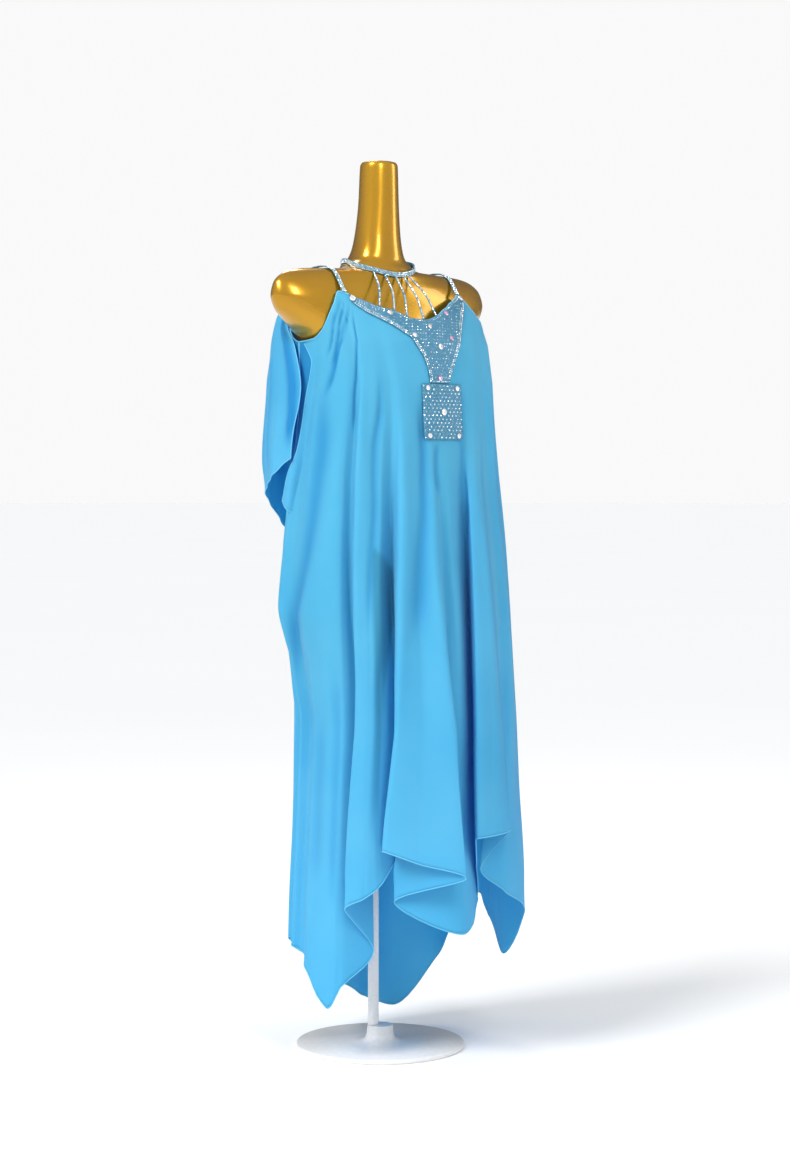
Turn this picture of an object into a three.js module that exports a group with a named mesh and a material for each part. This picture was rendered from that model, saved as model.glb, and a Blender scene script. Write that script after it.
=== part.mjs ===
// Latin dance dress of sky-blue chiffon, worn on a smooth gold dress form with a stand.
// Millimetres, +Z up, the front of the dress faces -Y and the wearer's right is -X.
// Origin: centre of the underside of the stand's base, on the floor.
import * as THREE from 'three';

// cloth walls and clearances
const CHIFFON = 1.2;
const TRIM = 1.3;
const SEAM_GAP = 0.3;
const PLEAT_STEPS = 4;
const TURN_GATHER = 0.12;

// stand
const BASE_RADIUS = 140;
const BASE_THICK = 8;
const HUB_RADIUS = 20;
const HUB_TOP = 36;
const POLE_RADIUS = 9;
const POLE_PLACE = [-8, 8];
const FORM_BOTTOM = 560;

// height of the stand's lift under everything it carries: the tables below are without it
const LIFT = 45;

// heights at which the folds are placed
const CHEST_Z = 987;
const HIP_Z = 690;
const LOW_Z = 276;

// crystal trim
const STRAP_WIDTH = 8;
const CHOKER_WIDTH = 8;
const STRAND_WIDTH = 3.6;
const STONE_HEIGHT = 3;

const rad = Math.PI / 180;

// dress form: height, half width, depth to the front, depth to the back, squareness
const formRows = [
  [1417, 28, 24, 31, 2],
  [1412, 31, 27, 34, 2],
  [1350, 33.5, 28, 38, 2],
  [1305, 37, 28.5, 45, 2],
  [1276, 41, 31, 53, 2],
  [1260, 47, 33, 62, 2],
  [1250, 60, 37, 72, 1.9],
  [1244, 70, 41, 73, 1.7],
  [1240.5, 88, 43, 70, 1.4],
  [1239, 118, 44, 66, 1.22],
  [1237, 160, 45, 61, 1.22],
  [1233, 192, 47, 57, 1.35],
  [1225, 213, 49, 56, 1.6],
  [1211, 226, 54, 57, 1.9],
  [1192, 229, 60, 59, 2.1],
  [1172, 221, 65, 63, 2.1],
  [1151, 196, 72, 67, 2.2],
  [1128, 165, 88, 80, 2.2],
  [1110, 154, 98, 84, 2.2],
  [1085, 153, 114, 87, 2.2],
  [1060, 150, 125, 88, 2.2],
  [1030, 146, 127, 86, 2.2],
  [990, 138, 117, 82, 2.2],
  [940, 128, 100, 78, 2.2],
  [880, 119, 89, 78, 2.2],
  [820, 129, 92, 86, 2.2],
  [760, 141, 96, 99, 2.2],
  [700, 150, 98, 107, 2.2],
  [640, 150, 96, 105, 2.2],
  [590, 142, 89, 96, 2.2],
  [568, 130, 80, 86, 2.2],
  [FORM_BOTTOM, 112, 66, 71, 2.2],
];

// ease of the hanging cloth round the body: height, right, left, front, back, squareness
const easeRows = [
  [-20, 158, 234, 244, 140, 2.0],
  [250, 158, 229, 238, 138, 2.0],
  [500, 158, 226, 214, 134, 2.05],
  [690, 169, 223, 186, 130, 2.1],
  [800, 172, 221, 168, 120, 2.15],
  [900, 169, 217, 152, 108, 2.2],
  [1000, 162, 211, 144, 102, 2.25],
  [1055, 161, 207, 141, 99, 2.3],
  [1120, 166, 202, 128, 93, 2.35],
  [1160, 173, 196, 106, 91, 2.4],
  [1202, 171, 170, 76, 76, 2.4],
];

// swell of the open right side where the cloth cascades: height, distance out
const sideSwell = [
  [120, 0], [235, -5], [334, -11], [433, -16], [508, -19], [557, -14], [607, -8], [640, 0],
  [690, 9], [740, 6], [800, 2], [860, 0], [1119, 0],
];

// fold lines of the front panel, wearer's right to left
// name, top angle, top height, chest angle, chest out, hip angle, hip out, low angle, low out, hem height
const frontFolds = [
  ['side_edge', -95, 1119, -99, 0, -119, 1, -118, -2, 140],
  ['side_crest', -89, 1120, -94, 3, -110, 7, -110, 4, 136],
  ['side_valley', -82, 1123, -89, -2, -101, -5, -103, -8, 128],
  ['pleat_1_left', -75, 1133, -81, 4, -86, 7, -90, 6, 106],
  ['pleat_1_crest', -66, 1155, -68, 3, -75, 10, -78, 10, 50],
  ['pleat_1_right', -58, 1178, -60, 2, -66, 7, -72.5, 3, 86],
  ['tuck_1', -51, 1198, -55, -5, -62, -13, -61.5, -42, 140],
  ['pleat_2_left', -46.5, 1196, -51, 3, -57, 9, -68, 20, 215],
  ['pleat_2_crest', -43.5, 1193, -44, 2, -51, 10, -60, 18, 235],
  ['pleat_2_right', -40.5, 1188.5, -37.5, 0, -45, 2, -54, 6, 254],
  ['tuck_2', -34, 1183, -31, -5, -38, -30, -45, -30, 306],
  ['pleat_3_left', -27, 1175, -25.5, 3, -35, 11, -52, 26, 313],
  ['pleat_3_crest', -16.5, 1168, -15, 0, -25, 5, -36, 19, 293],
  ['pleat_3_right', -7, 1156.5, -7.5, 0, -15, 15, -15.5, 28, 271],
  ['tuck_3', 0, 1155, -2, 0, -6, -10, -48, -14, 227],
  ['pleat_3_inner', 6, 1162.5, 3, 0, -1, -2, -7, -24, 173],
  ['tuck_4', 13, 1174, 10, 0, 18.5, -34, 19, -56, 218],
  ['pleat_4_left', 18, 1180, 15, 1, 6.5, 8, -4, 11, 329],
  ['pleat_4_crest', 22, 1186, 20, 3, 13, 12, 5, 17, 331],
  ['pleat_4_right', 27, 1190.5, 25.5, 2, 20, 9, 17.5, 15, 334],
  ['tuck_5', 34, 1197, 33, -3, 38, -8, 8, -26, 273],
  ['pleat_5_left', 41, 1203, 40, 2, 42, 4, 20, -5, 230],
  ['pleat_5_crest', 52, 1178, 50, 3, 52, 8, 53, 8, 175],
  ['pleat_5_back', 66, 1135, 63, -3, 64, -4, 70, -8, 94],
  ['left_seam', 80, 1119, 77, 0, 78, 5, 84, 2, 148],
];

// fold lines of the back panel, wearer's left to right, in the same columns
const backFolds = [
  ['left_seam', 80.4, 1119, 77.4, 0, 78.4, 5, 84.4, 2, 148],
  ['pleat_1_crest', 96, 1121, 92, 3, 92, 10, 93, 10, 184],
  ['tuck_1', 108, 1136, 103, -2, 104, -8, 105, -12, 143],
  ['pleat_2_crest', 120, 1162, 116, 3, 121, 12, 121, 16, 70],
  ['tuck_2', 131, 1184, 131, -2, 139, -5, 145, -14, -10],
  ['pleat_3_crest', 140, 1197, 146, 4, 152, 14, 157, 20, 2],
  ['tuck_3', 153, 1184, 160, -2, 165, -4, 169, -12, 31],
  ['pleat_4_crest', 167, 1165, 173, 3, 178, 13, 180, 20, 54],
  ['tuck_4', 180, 1158, 186, -2, 190, -4, 192, -12, 80],
  ['pleat_5_crest', 193, 1165, 200, 4, 204, 10, 206, 12, 112],
  ['tuck_5', 207, 1184, 213, -2, 216, -4, 217, -10, 118],
  ['pleat_6_crest', 220, 1197, 227, 3, 227, 4, 227, 4, 138],
  ['tuck_6', 239, 1154, 238, -2, 233, -5, 233, -8, 144],
  ['pleat_7_crest', 252, 1128, 249, 2, 237.5, 1, 238, 0, 141],
  ['right_edge', 264.2, 1119, 260.2, 0, 240.2, 1, 241.4, -2, 141],
];

// heights of the wing's own table
const wingLevels = [1196, 1160, 1110, 1040, 930, 840];

// fold lines of the wing behind the right arm: name, top height, hem height, then x, y at each level
const wingFolds = [
  ['near_edge', 1196, 932, -128, 65, -143, 68, -164, 37, -174, 0, -183, 6, -183, 6],
  ['near_fold', 1196, 905, -132, 68, -149, 76, -171, 58, -182, 44, -188, 51, -188, 53],
  ['outer_fold', 1196, 884, -132, 73, -149, 86, -160, 88, -163, 89, -168, 92, -166, 92],
  ['far_turn', 1196, 870, -127, 76, -141, 94, -145, 103, -147, 108, -151, 116, -145, 116],
  ['far_tuck', 1196, 838, -114, 78, -117, 88, -119, 103, -118, 116, -117, 130, -107, 134],
  ['back_fold', 1190, 814, -90, 85, -84, 96, -80, 110, -78, 122, -76, 138, -70, 146],
  ['back_tuck', 1176, 826, -60, 88, -50, 96, -44, 106, -41, 117, -39, 131, -37, 138],
  ['back_edge', 1162, 852, -34, 91, -22, 98, -14, 110, -10, 122, -8, 138, -8, 146],
];

// yoke: fold number along the neckline, then fold number and height of its lower edge below that place
const yokeEdge = [
  [7.9, 7.9, 1181], [9.1, 9.13, 1170.9], [9.8, 9.79, 1162.9], [10.5, 10.45, 1157], [11.05, 11.04, 1150.7],
  [11.5, 11.44, 1144.5], [11.9, 11.79, 1136.7], [12.25, 12.07, 1130.4], [12.6, 12.36, 1124.2], [12.8, 12.51, 1115.2],
  [13.0, 12.73, 1105.7], [13.2, 12.96, 1094.7], [13.4, 13.11, 1081.9], [13.55, 13.2, 1070.7], [13.7, 13.22, 1060],
  [13.8, 13.25, 1053], [14.0, 13.8, 1053], [14.2, 14.35, 1053], [14.4, 14.91, 1053], [14.6, 15.11, 1062.2],
  [14.8, 15.34, 1073.7], [15.05, 15.56, 1083.7], [15.4, 15.8, 1095.3], [15.8, 16.09, 1108.5], [16.4, 16.49, 1121.5],
  [17.4, 17.33, 1140.2], [18.4, 18.33, 1157.5], [19.8, 19.8, 1175.3], [20.9, 20.9, 1190],
];

// stones raised on the trim: fold number, height, radius
const stones = [
  ['stone_joint_right', 8.41, 1185.5, 5.2],
  ['stone_joint_left', 20.6, 1195.5, 5.2],
  ['stone_neck_right', 11.67, 1163, 4.6],
  ['stone_neck_mid', 12.62, 1128, 4.6],
  ['stone_neck_left', 15.86, 1166.5, 4.8],
  ['stone_centre', 14.03, 1142.9, 5],
  ['stone_star', 14.44, 1111.6, 5],
  ['stone_left', 15.49, 1124.7, 4.4],
  ['stone_stem', 14.19, 1060, 4.4],
];
const tabStones = [
  ['stone_tab_top_right', 0.12, 0.07, 4.2],
  ['stone_tab_top_left', 0.88, 0.07, 4.2],
  ['stone_tab_low_right', 0.12, 0.93, 4.2],
  ['stone_tab_low_left', 0.88, 0.93, 4.2],
  ['stone_tab_centre', 0.5, 0.5, 5.6],
];

// the flat tab on the breast: its left and right, top and bottom
const TAB_X = [-38, 47];
const TAB_Z = [1051, 962];

// strands from the choker to the neckline: name, choker angle, neckline fold
const strands = [
  ['strand_1', -51, 11.2],
  ['strand_2', -34, 12.04],
  ['strand_3', -12, 12.7],
  ['strand_4', 8, 13.8],
  ['strand_5', 22, 14.9],
];

const between = (rows, at, column) => {
  const up = rows[0][0] < rows[rows.length - 1][0];
  const list = up ? rows : [...rows].reverse();
  if (at <= list[0][0]) return list[0][column];
  for (let i = 1; i < list.length; i++) {
    if (at <= list[i][0]) {
      const f = (at - list[i - 1][0]) / (list[i][0] - list[i - 1][0]);
      return list[i - 1][column] * (1 - f) + list[i][column] * f;
    }
  }
  return list[list.length - 1][column];
};

// smooth curve through knots without overshoot, level beyond the ends
const smooth = (knots, at) => {
  const n = knots.length;
  if (at <= knots[0][0]) return knots[0][1];
  if (at >= knots[n - 1][0]) return knots[n - 1][1];
  const slope = [];
  for (let i = 0; i < n - 1; i++) slope.push((knots[i + 1][1] - knots[i][1]) / (knots[i + 1][0] - knots[i][0]));
  const tangent = (i) => {
    if (i === 0) return slope[0] * 0.5;
    if (i === n - 1) return slope[n - 2] * 0.5;
    const a = slope[i - 1];
    const b = slope[i];
    return a * b <= 0 ? 0 : (2 * a * b) / (a + b);
  };
  let i = 0;
  while (at > knots[i + 1][0]) i++;
  const w = knots[i + 1][0] - knots[i][0];
  const t = (at - knots[i][0]) / w;
  const t2 = t * t;
  const t3 = t2 * t;
  return (2 * t3 - 3 * t2 + 1) * knots[i][1] + (t3 - 2 * t2 + t) * w * tangent(i)
    + (3 * t2 - 2 * t3) * knots[i + 1][1] + (t3 - t2) * w * tangent(i + 1);
};

// point of the eased ring at an angle from the front (towards the wearer's left), moved out
const ringPoint = (angle, z, out) => {
  const sn = Math.sin(angle * rad);
  const cs = Math.cos(angle * rad);
  const power = 2 / between(easeRows, z, 5);
  const wide = between(easeRows, z, sn > 0 ? 2 : 1) + out;
  const deep = between(easeRows, z, cs > 0 ? 3 : 4) + out;
  return [Math.sign(sn) * Math.abs(sn) ** power * wide, -Math.sign(cs) * Math.abs(cs) ** power * deep];
};

// place of one fold line at a height
const foldPoint = (row, z) => {
  const [, topAngle, topZ, chest, chestOut, hip, hipOut, low, lowOut] = row;
  const angle = smooth([[LOW_Z, low], [HIP_Z, hip], [CHEST_Z, chest], [Math.max(topZ, CHEST_Z + 40), topAngle]], z);
  let out = smooth([[LOW_Z, lowOut], [HIP_Z, hipOut], [CHEST_Z, chestOut], [Math.max(topZ, CHEST_Z + 40), 0]], z);
  const round = ((angle + 540) % 360) - 180;
  const side = Math.min(1, Math.max(0, (-60 - round) / 38)) * Math.min(1, Math.max(0, (round + 150) / 28));
  out += smooth(sideSwell, z) * side;
  return ringPoint(angle, z, out);
};

const wingPoint = (row, z) => {
  const xs = wingLevels.map((level, i) => [level, row[3 + 2 * i]]).reverse();
  const ys = wingLevels.map((level, i) => [level, row[4 + 2 * i]]).reverse();
  return [smooth(xs, z), smooth(ys, z)];
};

// centripetal spline through four plan points
const spline = (p0, p1, p2, p3, t) => {
  const gap = (a, b) => Math.max(0.5, Math.sqrt(Math.hypot(a[0] - b[0], a[1] - b[1])));
  const t1 = gap(p0, p1);
  const t2 = t1 + gap(p1, p2);
  const t3 = t2 + gap(p2, p3);
  const s = t1 + (t2 - t1) * t;
  const mix = (a, b, from, to) => a.map((v, k) => ((to - s) * v + (s - from) * b[k]) / (to - from));
  const a1 = mix(p0, p1, 0, t1);
  const a2 = mix(p1, p2, t1, t2);
  const a3 = mix(p2, p3, t2, t3);
  const b1 = mix(a1, a2, 0, t2);
  const b2 = mix(a2, a3, t1, t3);
  return mix(b1, b2, t1, t2);
};

// a hanging piece: plan point for a fold number and height, and the top and hem heights there
const makePiece = (rows, place, topColumn, hemColumn) => {
  const tops = rows.map((row, i) => [i, row[topColumn]]);
  const hems = rows.map((row, i) => [i, row[hemColumn]]);
  const last = rows.length - 1;
  return {
    last,
    top: (u) => smooth(tops, u),
    hem: (u) => smooth(hems, u),
    at: (u, z) => {
      const i = Math.min(Math.max(Math.floor(u), 0), last - 1);
      const p1 = place(rows[i], z);
      const p2 = place(rows[i + 1], z);
      const p0 = i > 0 ? place(rows[i - 1], z) : [2 * p1[0] - p2[0], 2 * p1[1] - p2[1]];
      const p3 = i + 2 <= last ? place(rows[i + 2], z) : [2 * p2[0] - p1[0], 2 * p2[1] - p1[1]];
      const [x, y] = spline(p0, p1, p2, p3, u - i);
      return new THREE.Vector3(x, y, z);
    },
  };
};

const frontPiece = makePiece(frontFolds, foldPoint, 2, 9);
const backPiece = makePiece(backFolds, foldPoint, 2, 9);
const wingPiece = makePiece(wingFolds, wingPoint, 1, 2);

const outward = (piece, u, z) => {
  const du = piece.at(Math.min(u + 0.02, piece.last), z).sub(piece.at(Math.max(u - 0.02, 0), z));
  const dz = piece.at(u, z + 2).sub(piece.at(u, z - 2));
  return du.cross(dz).normalize();
};

// closed wall on a grid of middle points, half the thickness to either side
const wallGeometry = (grid, thick, wrapped = false) => {
  const rows = grid.length;
  const cols = grid[0].length;
  const pick = (i, j) => grid[i][wrapped ? (j + cols) % cols : Math.min(Math.max(j, 0), cols - 1)];
  const positions = [];
  for (const side of [0.5, -0.5]) {
    for (let i = 0; i < rows; i++) {
      for (let j = 0; j < cols; j++) {
        const along = pick(i, j + 1).clone().sub(pick(i, j - 1));
        const down = grid[Math.min(i + 1, rows - 1)][j].clone().sub(grid[Math.max(i - 1, 0)][j]);
        const p = down.cross(along).normalize().multiplyScalar(side * thick).add(grid[i][j]);
        positions.push(p.x, p.y, p.z);
      }
    }
  }
  const index = [];
  const id = (side, i, j) => side * rows * cols + i * cols + (wrapped ? j % cols : j);
  const quad = (a, b, c, d) => index.push(a, b, c, a, c, d);
  const spans = wrapped ? cols : cols - 1;
  for (let i = 0; i < rows - 1; i++) {
    for (let j = 0; j < spans; j++) {
      quad(id(0, i, j), id(0, i + 1, j), id(0, i + 1, j + 1), id(0, i, j + 1));
      quad(id(1, i, j), id(1, i, j + 1), id(1, i + 1, j + 1), id(1, i + 1, j));
    }
  }
  for (let j = 0; j < spans; j++) {
    quad(id(0, 0, j), id(0, 0, j + 1), id(1, 0, j + 1), id(1, 0, j));
    quad(id(0, rows - 1, j), id(1, rows - 1, j), id(1, rows - 1, j + 1), id(0, rows - 1, j + 1));
  }
  if (!wrapped) {
    for (let i = 0; i < rows - 1; i++) {
      quad(id(0, i, 0), id(1, i, 0), id(1, i + 1, 0), id(0, i + 1, 0));
      quad(id(0, i, cols - 1), id(0, i + 1, cols - 1), id(1, i + 1, cols - 1), id(1, i, cols - 1));
    }
  }
  const geometry = new THREE.BufferGeometry();
  geometry.setAttribute('position', new THREE.Float32BufferAttribute(positions, 3));
  geometry.setIndex(index);
  geometry.computeVertexNormals();
  return geometry;
};

// grid of a hanging piece from its top edge down to its hem, its columns gathered at the turns of the folds
const pieceGrid = (piece, rows, steps, from = 0, to = piece.last, dropTop = 0) => {
  const grid = [];
  const cols = Math.round((to - from) * steps);
  for (let i = 0; i <= rows; i++) {
    const line = [];
    for (let j = 0; j <= cols; j++) {
      const even = from + ((to - from) * j) / cols;
      const u = even - TURN_GATHER * Math.sin(2 * Math.PI * even);
      const z = (piece.top(u) - dropTop) * (1 - i / rows) + piece.hem(u) * (i / rows);
      line.push(piece.at(u, z));
    }
    grid.push(line);
  }
  return grid;
};

const materials = {
  chiffon: new THREE.MeshStandardMaterial({ name: 'chiffon', color: 0x42a9e8, roughness: 0.8, side: THREE.DoubleSide }),
  trim: new THREE.MeshStandardMaterial({ name: 'crystal_trim', color: 0x6fa8c4, roughness: 0.4 }),
  stone: new THREE.MeshStandardMaterial({ name: 'stone', color: 0xdfe8f2, roughness: 0.1 }),
  gold: new THREE.MeshStandardMaterial({ name: 'gold', color: 0xca9e2c, roughness: 0.3 }),
  enamel: new THREE.MeshStandardMaterial({ name: 'enamel', color: 0xe6e6e4, roughness: 0.35 }),
};

const dress = new THREE.Group();
dress.name = 'latin_dance_dress';
const addPart = (name, geometry, material) => {
  if (!name.startsWith('stand')) geometry.translate(0, 0, LIFT);
  const mesh = new THREE.Mesh(geometry, material.clone());
  mesh.name = name;
  dress.add(mesh);
  return mesh;
};

// dress form: rings of soft-cornered sections closed at the neck and below
const FORM_SIDES = 36;
const formGrid = formRows.map(([z, wide, front, back, square]) => {
  const ring = [];
  for (let j = 0; j < FORM_SIDES; j++) {
    const a = (360 * j * rad) / FORM_SIDES;
    const power = 2 / square;
    const sn = Math.sin(a);
    const cs = Math.cos(a);
    const deep = cs > 0 ? front : back;
    ring.push(new THREE.Vector3(Math.sign(sn) * Math.abs(sn) ** power * wide, -Math.sign(cs) * Math.abs(cs) ** power * deep, z));
  }
  return ring;
});
const solidRings = (grid) => {
  const rows = grid.length;
  const cols = grid[0].length;
  const positions = grid.flat().flatMap((p) => [p.x, p.y, p.z]);
  const index = [];
  for (let i = 0; i < rows - 1; i++) {
    for (let j = 0; j < cols; j++) {
      const k = (j + 1) % cols;
      index.push(i * cols + j, (i + 1) * cols + j, (i + 1) * cols + k);
      index.push(i * cols + j, (i + 1) * cols + k, i * cols + k);
    }
  }
  for (const [i, up] of [[0, true], [rows - 1, false]]) {
    const centre = positions.length / 3;
    const mean = grid[i].reduce((s, p) => s.add(p), new THREE.Vector3()).divideScalar(cols);
    positions.push(mean.x, mean.y, mean.z);
    for (let j = 0; j < cols; j++) {
      const k = (j + 1) % cols;
      if (up) index.push(centre, i * cols + j, i * cols + k);
      else index.push(centre, i * cols + k, i * cols + j);
    }
  }
  const geometry = new THREE.BufferGeometry();
  geometry.setAttribute('position', new THREE.Float32BufferAttribute(positions, 3));
  geometry.setIndex(index);
  geometry.computeVertexNormals();
  return geometry;
};
addPart('form_torso', solidRings(formGrid), materials.gold);

// how far the form stands out from its axis at an angle, over a small band of heights
const formRadius = (angle, z, band) => {
  let far = 0;
  for (const h of [z - band, z, z + band]) {
    const wide = between(formRows, h, 1);
    const deep = between(formRows, h, Math.cos(angle * rad) > 0 ? 2 : 3);
    const n = between(formRows, h, 4);
    const r = ((Math.abs(Math.sin(angle * rad)) / wide) ** n + (Math.abs(Math.cos(angle * rad)) / deep) ** n) ** (-1 / n);
    far = Math.max(far, r);
  }
  return far;
};

// stand: a thin round base with a hub, and the pole up to the form
const basePoints = [
  [0, 0], [BASE_RADIUS - 2, 0], [BASE_RADIUS, 2], [BASE_RADIUS, BASE_THICK - 2], [BASE_RADIUS - 2, BASE_THICK],
  [HUB_RADIUS + 14, BASE_THICK + 1], [HUB_RADIUS + 5, BASE_THICK + 7], [HUB_RADIUS + 2, HUB_TOP - 2], [HUB_RADIUS, HUB_TOP], [0, HUB_TOP],
].map(([r, z]) => new THREE.Vector2(r, z));
const baseGeometry = new THREE.LatheGeometry(basePoints, 32);
baseGeometry.rotateX(Math.PI / 2);
addPart('stand_base', baseGeometry, materials.enamel);
const poleHeight = FORM_BOTTOM + LIFT - HUB_TOP - 2 * SEAM_GAP;
const poleGeometry = new THREE.CylinderGeometry(POLE_RADIUS, POLE_RADIUS, poleHeight, 20);
poleGeometry.rotateX(Math.PI / 2);
poleGeometry.translate(POLE_PLACE[0], POLE_PLACE[1], HUB_TOP + SEAM_GAP + poleHeight / 2);
addPart('stand_pole', poleGeometry, materials.enamel);

// the two body panels and the wing
addPart('front_panel', wallGeometry(pieceGrid(frontPiece, 13, PLEAT_STEPS), CHIFFON), materials.chiffon);
addPart('back_panel', wallGeometry(pieceGrid(backPiece, 12, PLEAT_STEPS), CHIFFON), materials.chiffon);
addPart('wing', wallGeometry(pieceGrid(wingPiece, 8, PLEAT_STEPS), CHIFFON), materials.chiffon);

// a point lifted off the front panel for what lies on it
const lifted = (u, z, out) => {
  const p = frontPiece.at(u, z);
  return p.add(outward(frontPiece, u, z).multiplyScalar(out));
};

// loose overlap of the front at the open right side, ending in a corner above the hip
const overlapHems = [[0, 866], [0.6, 858], [1.2, 850], [1.8, 862], [2.4, 900]];
const overlapGrid = [];
for (let i = 0; i <= 7; i++) {
  const line = [];
  for (let j = 0; j <= 8; j++) {
    const u = 0.05 + 2.3 * (j / 8);
    const f = i / 7;
    const z = (frontPiece.top(u) - 4) * (1 - f) + smooth(overlapHems, u) * f;
    const out = 2.2 + 9 * Math.sin(f * Math.PI * 0.5) * (1 - j / 10) + (j === 0 ? 2 : 0);
    line.push(lifted(u, z, out));
  }
  overlapGrid.push(line);
}
addPart('front_overlap', wallGeometry(overlapGrid, CHIFFON), materials.chiffon);

// yoke along the neckline and down the stem
const yokeOut = CHIFFON / 2 + SEAM_GAP + TRIM / 2 + 0.5;
const yokeGrid = [];
for (let i = 0; i <= 6; i++) {
  const line = [];
  for (let j = 0; j <= 2 * (yokeEdge.length - 1); j++) {
    const [[upA, lowA, zA], [upB, lowB, zB]] = [yokeEdge[Math.floor(j / 2)], yokeEdge[Math.ceil(j / 2)]];
    const up = (upA + upB) / 2;
    const u = up * (1 - i / 6) + ((lowA + lowB) / 2) * (i / 6);
    const z = (frontPiece.top(up) - 0.5) * (1 - i / 6) + ((zA + zB) / 2) * (i / 6);
    line.push(lifted(u, z, yokeOut));
  }
  yokeGrid.push(line);
}
addPart('yoke', wallGeometry(yokeGrid, TRIM), materials.trim);

// fold number of the front panel at a given x
const foldAtX = (x, z) => {
  let low = 10;
  let high = 20;
  for (let k = 0; k < 40; k++) {
    const mid = (low + high) / 2;
    if (frontPiece.at(mid, z).x < x) low = mid;
    else high = mid;
  }
  return (low + high) / 2;
};

// stiff rectangular tab below the stem
const tabPoint = (a, b, out) => {
  const x = TAB_X[0] + (TAB_X[1] - TAB_X[0]) * a;
  const z = TAB_Z[0] + (TAB_Z[1] - TAB_Z[0]) * b;
  return lifted(foldAtX(x, z), z, out);
};
const tabGrid = [];
for (let i = 0; i <= 6; i++) {
  const line = [];
  for (let j = 0; j <= 6; j++) line.push(tabPoint(j / 6, i / 6, yokeOut + 0.4));
  tabGrid.push(line);
}
addPart('tab', wallGeometry(tabGrid, TRIM), materials.trim);

// faceted stones set on the trim
const addStone = (name, centre, normal, radius) => {
  const stone = new THREE.CylinderGeometry(radius * 0.5, radius, STONE_HEIGHT, 8);
  stone.translate(0, STONE_HEIGHT / 2, 0);
  stone.applyQuaternion(new THREE.Quaternion().setFromUnitVectors(new THREE.Vector3(0, 1, 0), normal));
  stone.translate(centre.x, centre.y, centre.z);
  addPart(name, stone, materials.stone);
};
for (const [name, u, z, radius] of stones) {
  addStone(name, lifted(u, z, yokeOut + TRIM / 2 + 0.8), outward(frontPiece, u, z), radius);
}
for (const [name, a, b, radius] of tabStones) {
  const p = tabPoint(a, b, yokeOut + 0.4 + TRIM / 2 + 0.6);
  addStone(name, p, tabPoint(a, b, 20).sub(p).normalize(), radius);
}

// a narrow strip along a path, flat side out
const stripGeometry = (path, across, outs, width, thick) => {
  const positions = [];
  path.forEach((p, i) => {
    for (const [a, b] of [[-0.5, -0.5], [0.5, -0.5], [0.5, 0.5], [-0.5, 0.5]]) {
      const q = p.clone().addScaledVector(across[i], a * width).addScaledVector(outs[i], b * thick);
      positions.push(q.x, q.y, q.z);
    }
  });
  const index = [];
  const n = path.length;
  for (let i = 0; i < n - 1; i++) {
    for (let k = 0; k < 4; k++) {
      const l = (k + 1) % 4;
      index.push(i * 4 + k, i * 4 + l, (i + 1) * 4 + l, i * 4 + k, (i + 1) * 4 + l, (i + 1) * 4 + k);
    }
  }
  index.push(0, 2, 1, 0, 3, 2);
  const e = (n - 1) * 4;
  index.push(e, e + 1, e + 2, e, e + 2, e + 3);
  const geometry = new THREE.BufferGeometry();
  geometry.setAttribute('position', new THREE.Float32BufferAttribute(positions, 3));
  geometry.setIndex(index);
  geometry.computeVertexNormals();
  return geometry;
};
const stripAlong = (points, sideHint, width, thick) => {
  const curve = new THREE.CatmullRomCurve3(points);
  const path = curve.getSpacedPoints(12);
  const across = path.map(() => sideHint.clone());
  const outs = path.map((p, i) => {
    const t = curve.getTangentAt(i / 12);
    return sideHint.clone().cross(t).normalize();
  });
  path.forEach((p, i) => across[i].crossVectors(outs[i], curve.getTangentAt(i / 12)).normalize());
  return stripGeometry(path, across, outs, width, thick);
};

// shoulder straps from the front joint to the back joint, each end just over the edge it is sewn to
const edgePoint = (piece, u, out) => {
  const z = piece.top(u);
  const p = piece.at(u, z).add(outward(piece, u, z - 3).multiplyScalar(out));
  return p.setZ(z + 1.5);
};
// height of the form's top at a place in plan
const formTop = (x, y) => {
  let low = 1150;
  let high = 1246;
  for (let k = 0; k < 30; k++) {
    const z = (low + high) / 2;
    const n = between(formRows, z, 4);
    const deep = between(formRows, z, y < 0 ? 2 : 3);
    if ((Math.abs(x) / between(formRows, z, 1)) ** n + (Math.abs(y) / deep) ** n < 1) low = z;
    else high = z;
  }
  return low;
};
const STRAP_REST = 2.7;
for (const [name, side, frontFold, backFold] of [['strap_right', -1, 7.0, 11], ['strap_left', 1, 20.8, 5]]) {
  const points = [edgePoint(frontPiece, frontFold, 0.8)];
  for (let y = -33; y <= 44; y += 11) {
    const x = side * (128 - 0.05 * Math.max(0, y));
    const slope = (formTop(x, y + 1) - formTop(x, y - 1)) / 2;
    const tip = Math.hypot(1, slope);
    points.push(new THREE.Vector3(x, y - (slope / tip) * STRAP_REST, formTop(x, y) + STRAP_REST / tip));
  }
  points.push(edgePoint(backPiece, backFold, 0));
  addPart(name, stripAlong(points, new THREE.Vector3(1, 0, 0), STRAP_WIDTH, TRIM + 0.3), materials.trim);
}

// choker round the neck, low in front
const chokerHeight = (angle) => 1256 - 25 * Math.max(0, Math.cos((angle + 8) * rad * 0.85)) ** 1.4;
const chokerPoint = (angle, z) => {
  const r = Math.max(46, formRadius(angle, chokerHeight(angle), CHOKER_WIDTH / 2) + 1.8);
  return new THREE.Vector3(r * Math.sin(angle * rad), -r * Math.cos(angle * rad), z);
};
const chokerGrid = [];
for (let i = 0; i <= 1; i++) {
  const line = [];
  for (let j = 0; j < 40; j++) {
    const angle = -180 + (360 * j) / 40;
    line.push(chokerPoint(angle, chokerHeight(angle) + CHOKER_WIDTH * (0.5 - i)));
  }
  chokerGrid.push(line);
}
addPart('choker', wallGeometry(chokerGrid, TRIM, true), materials.trim);

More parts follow.
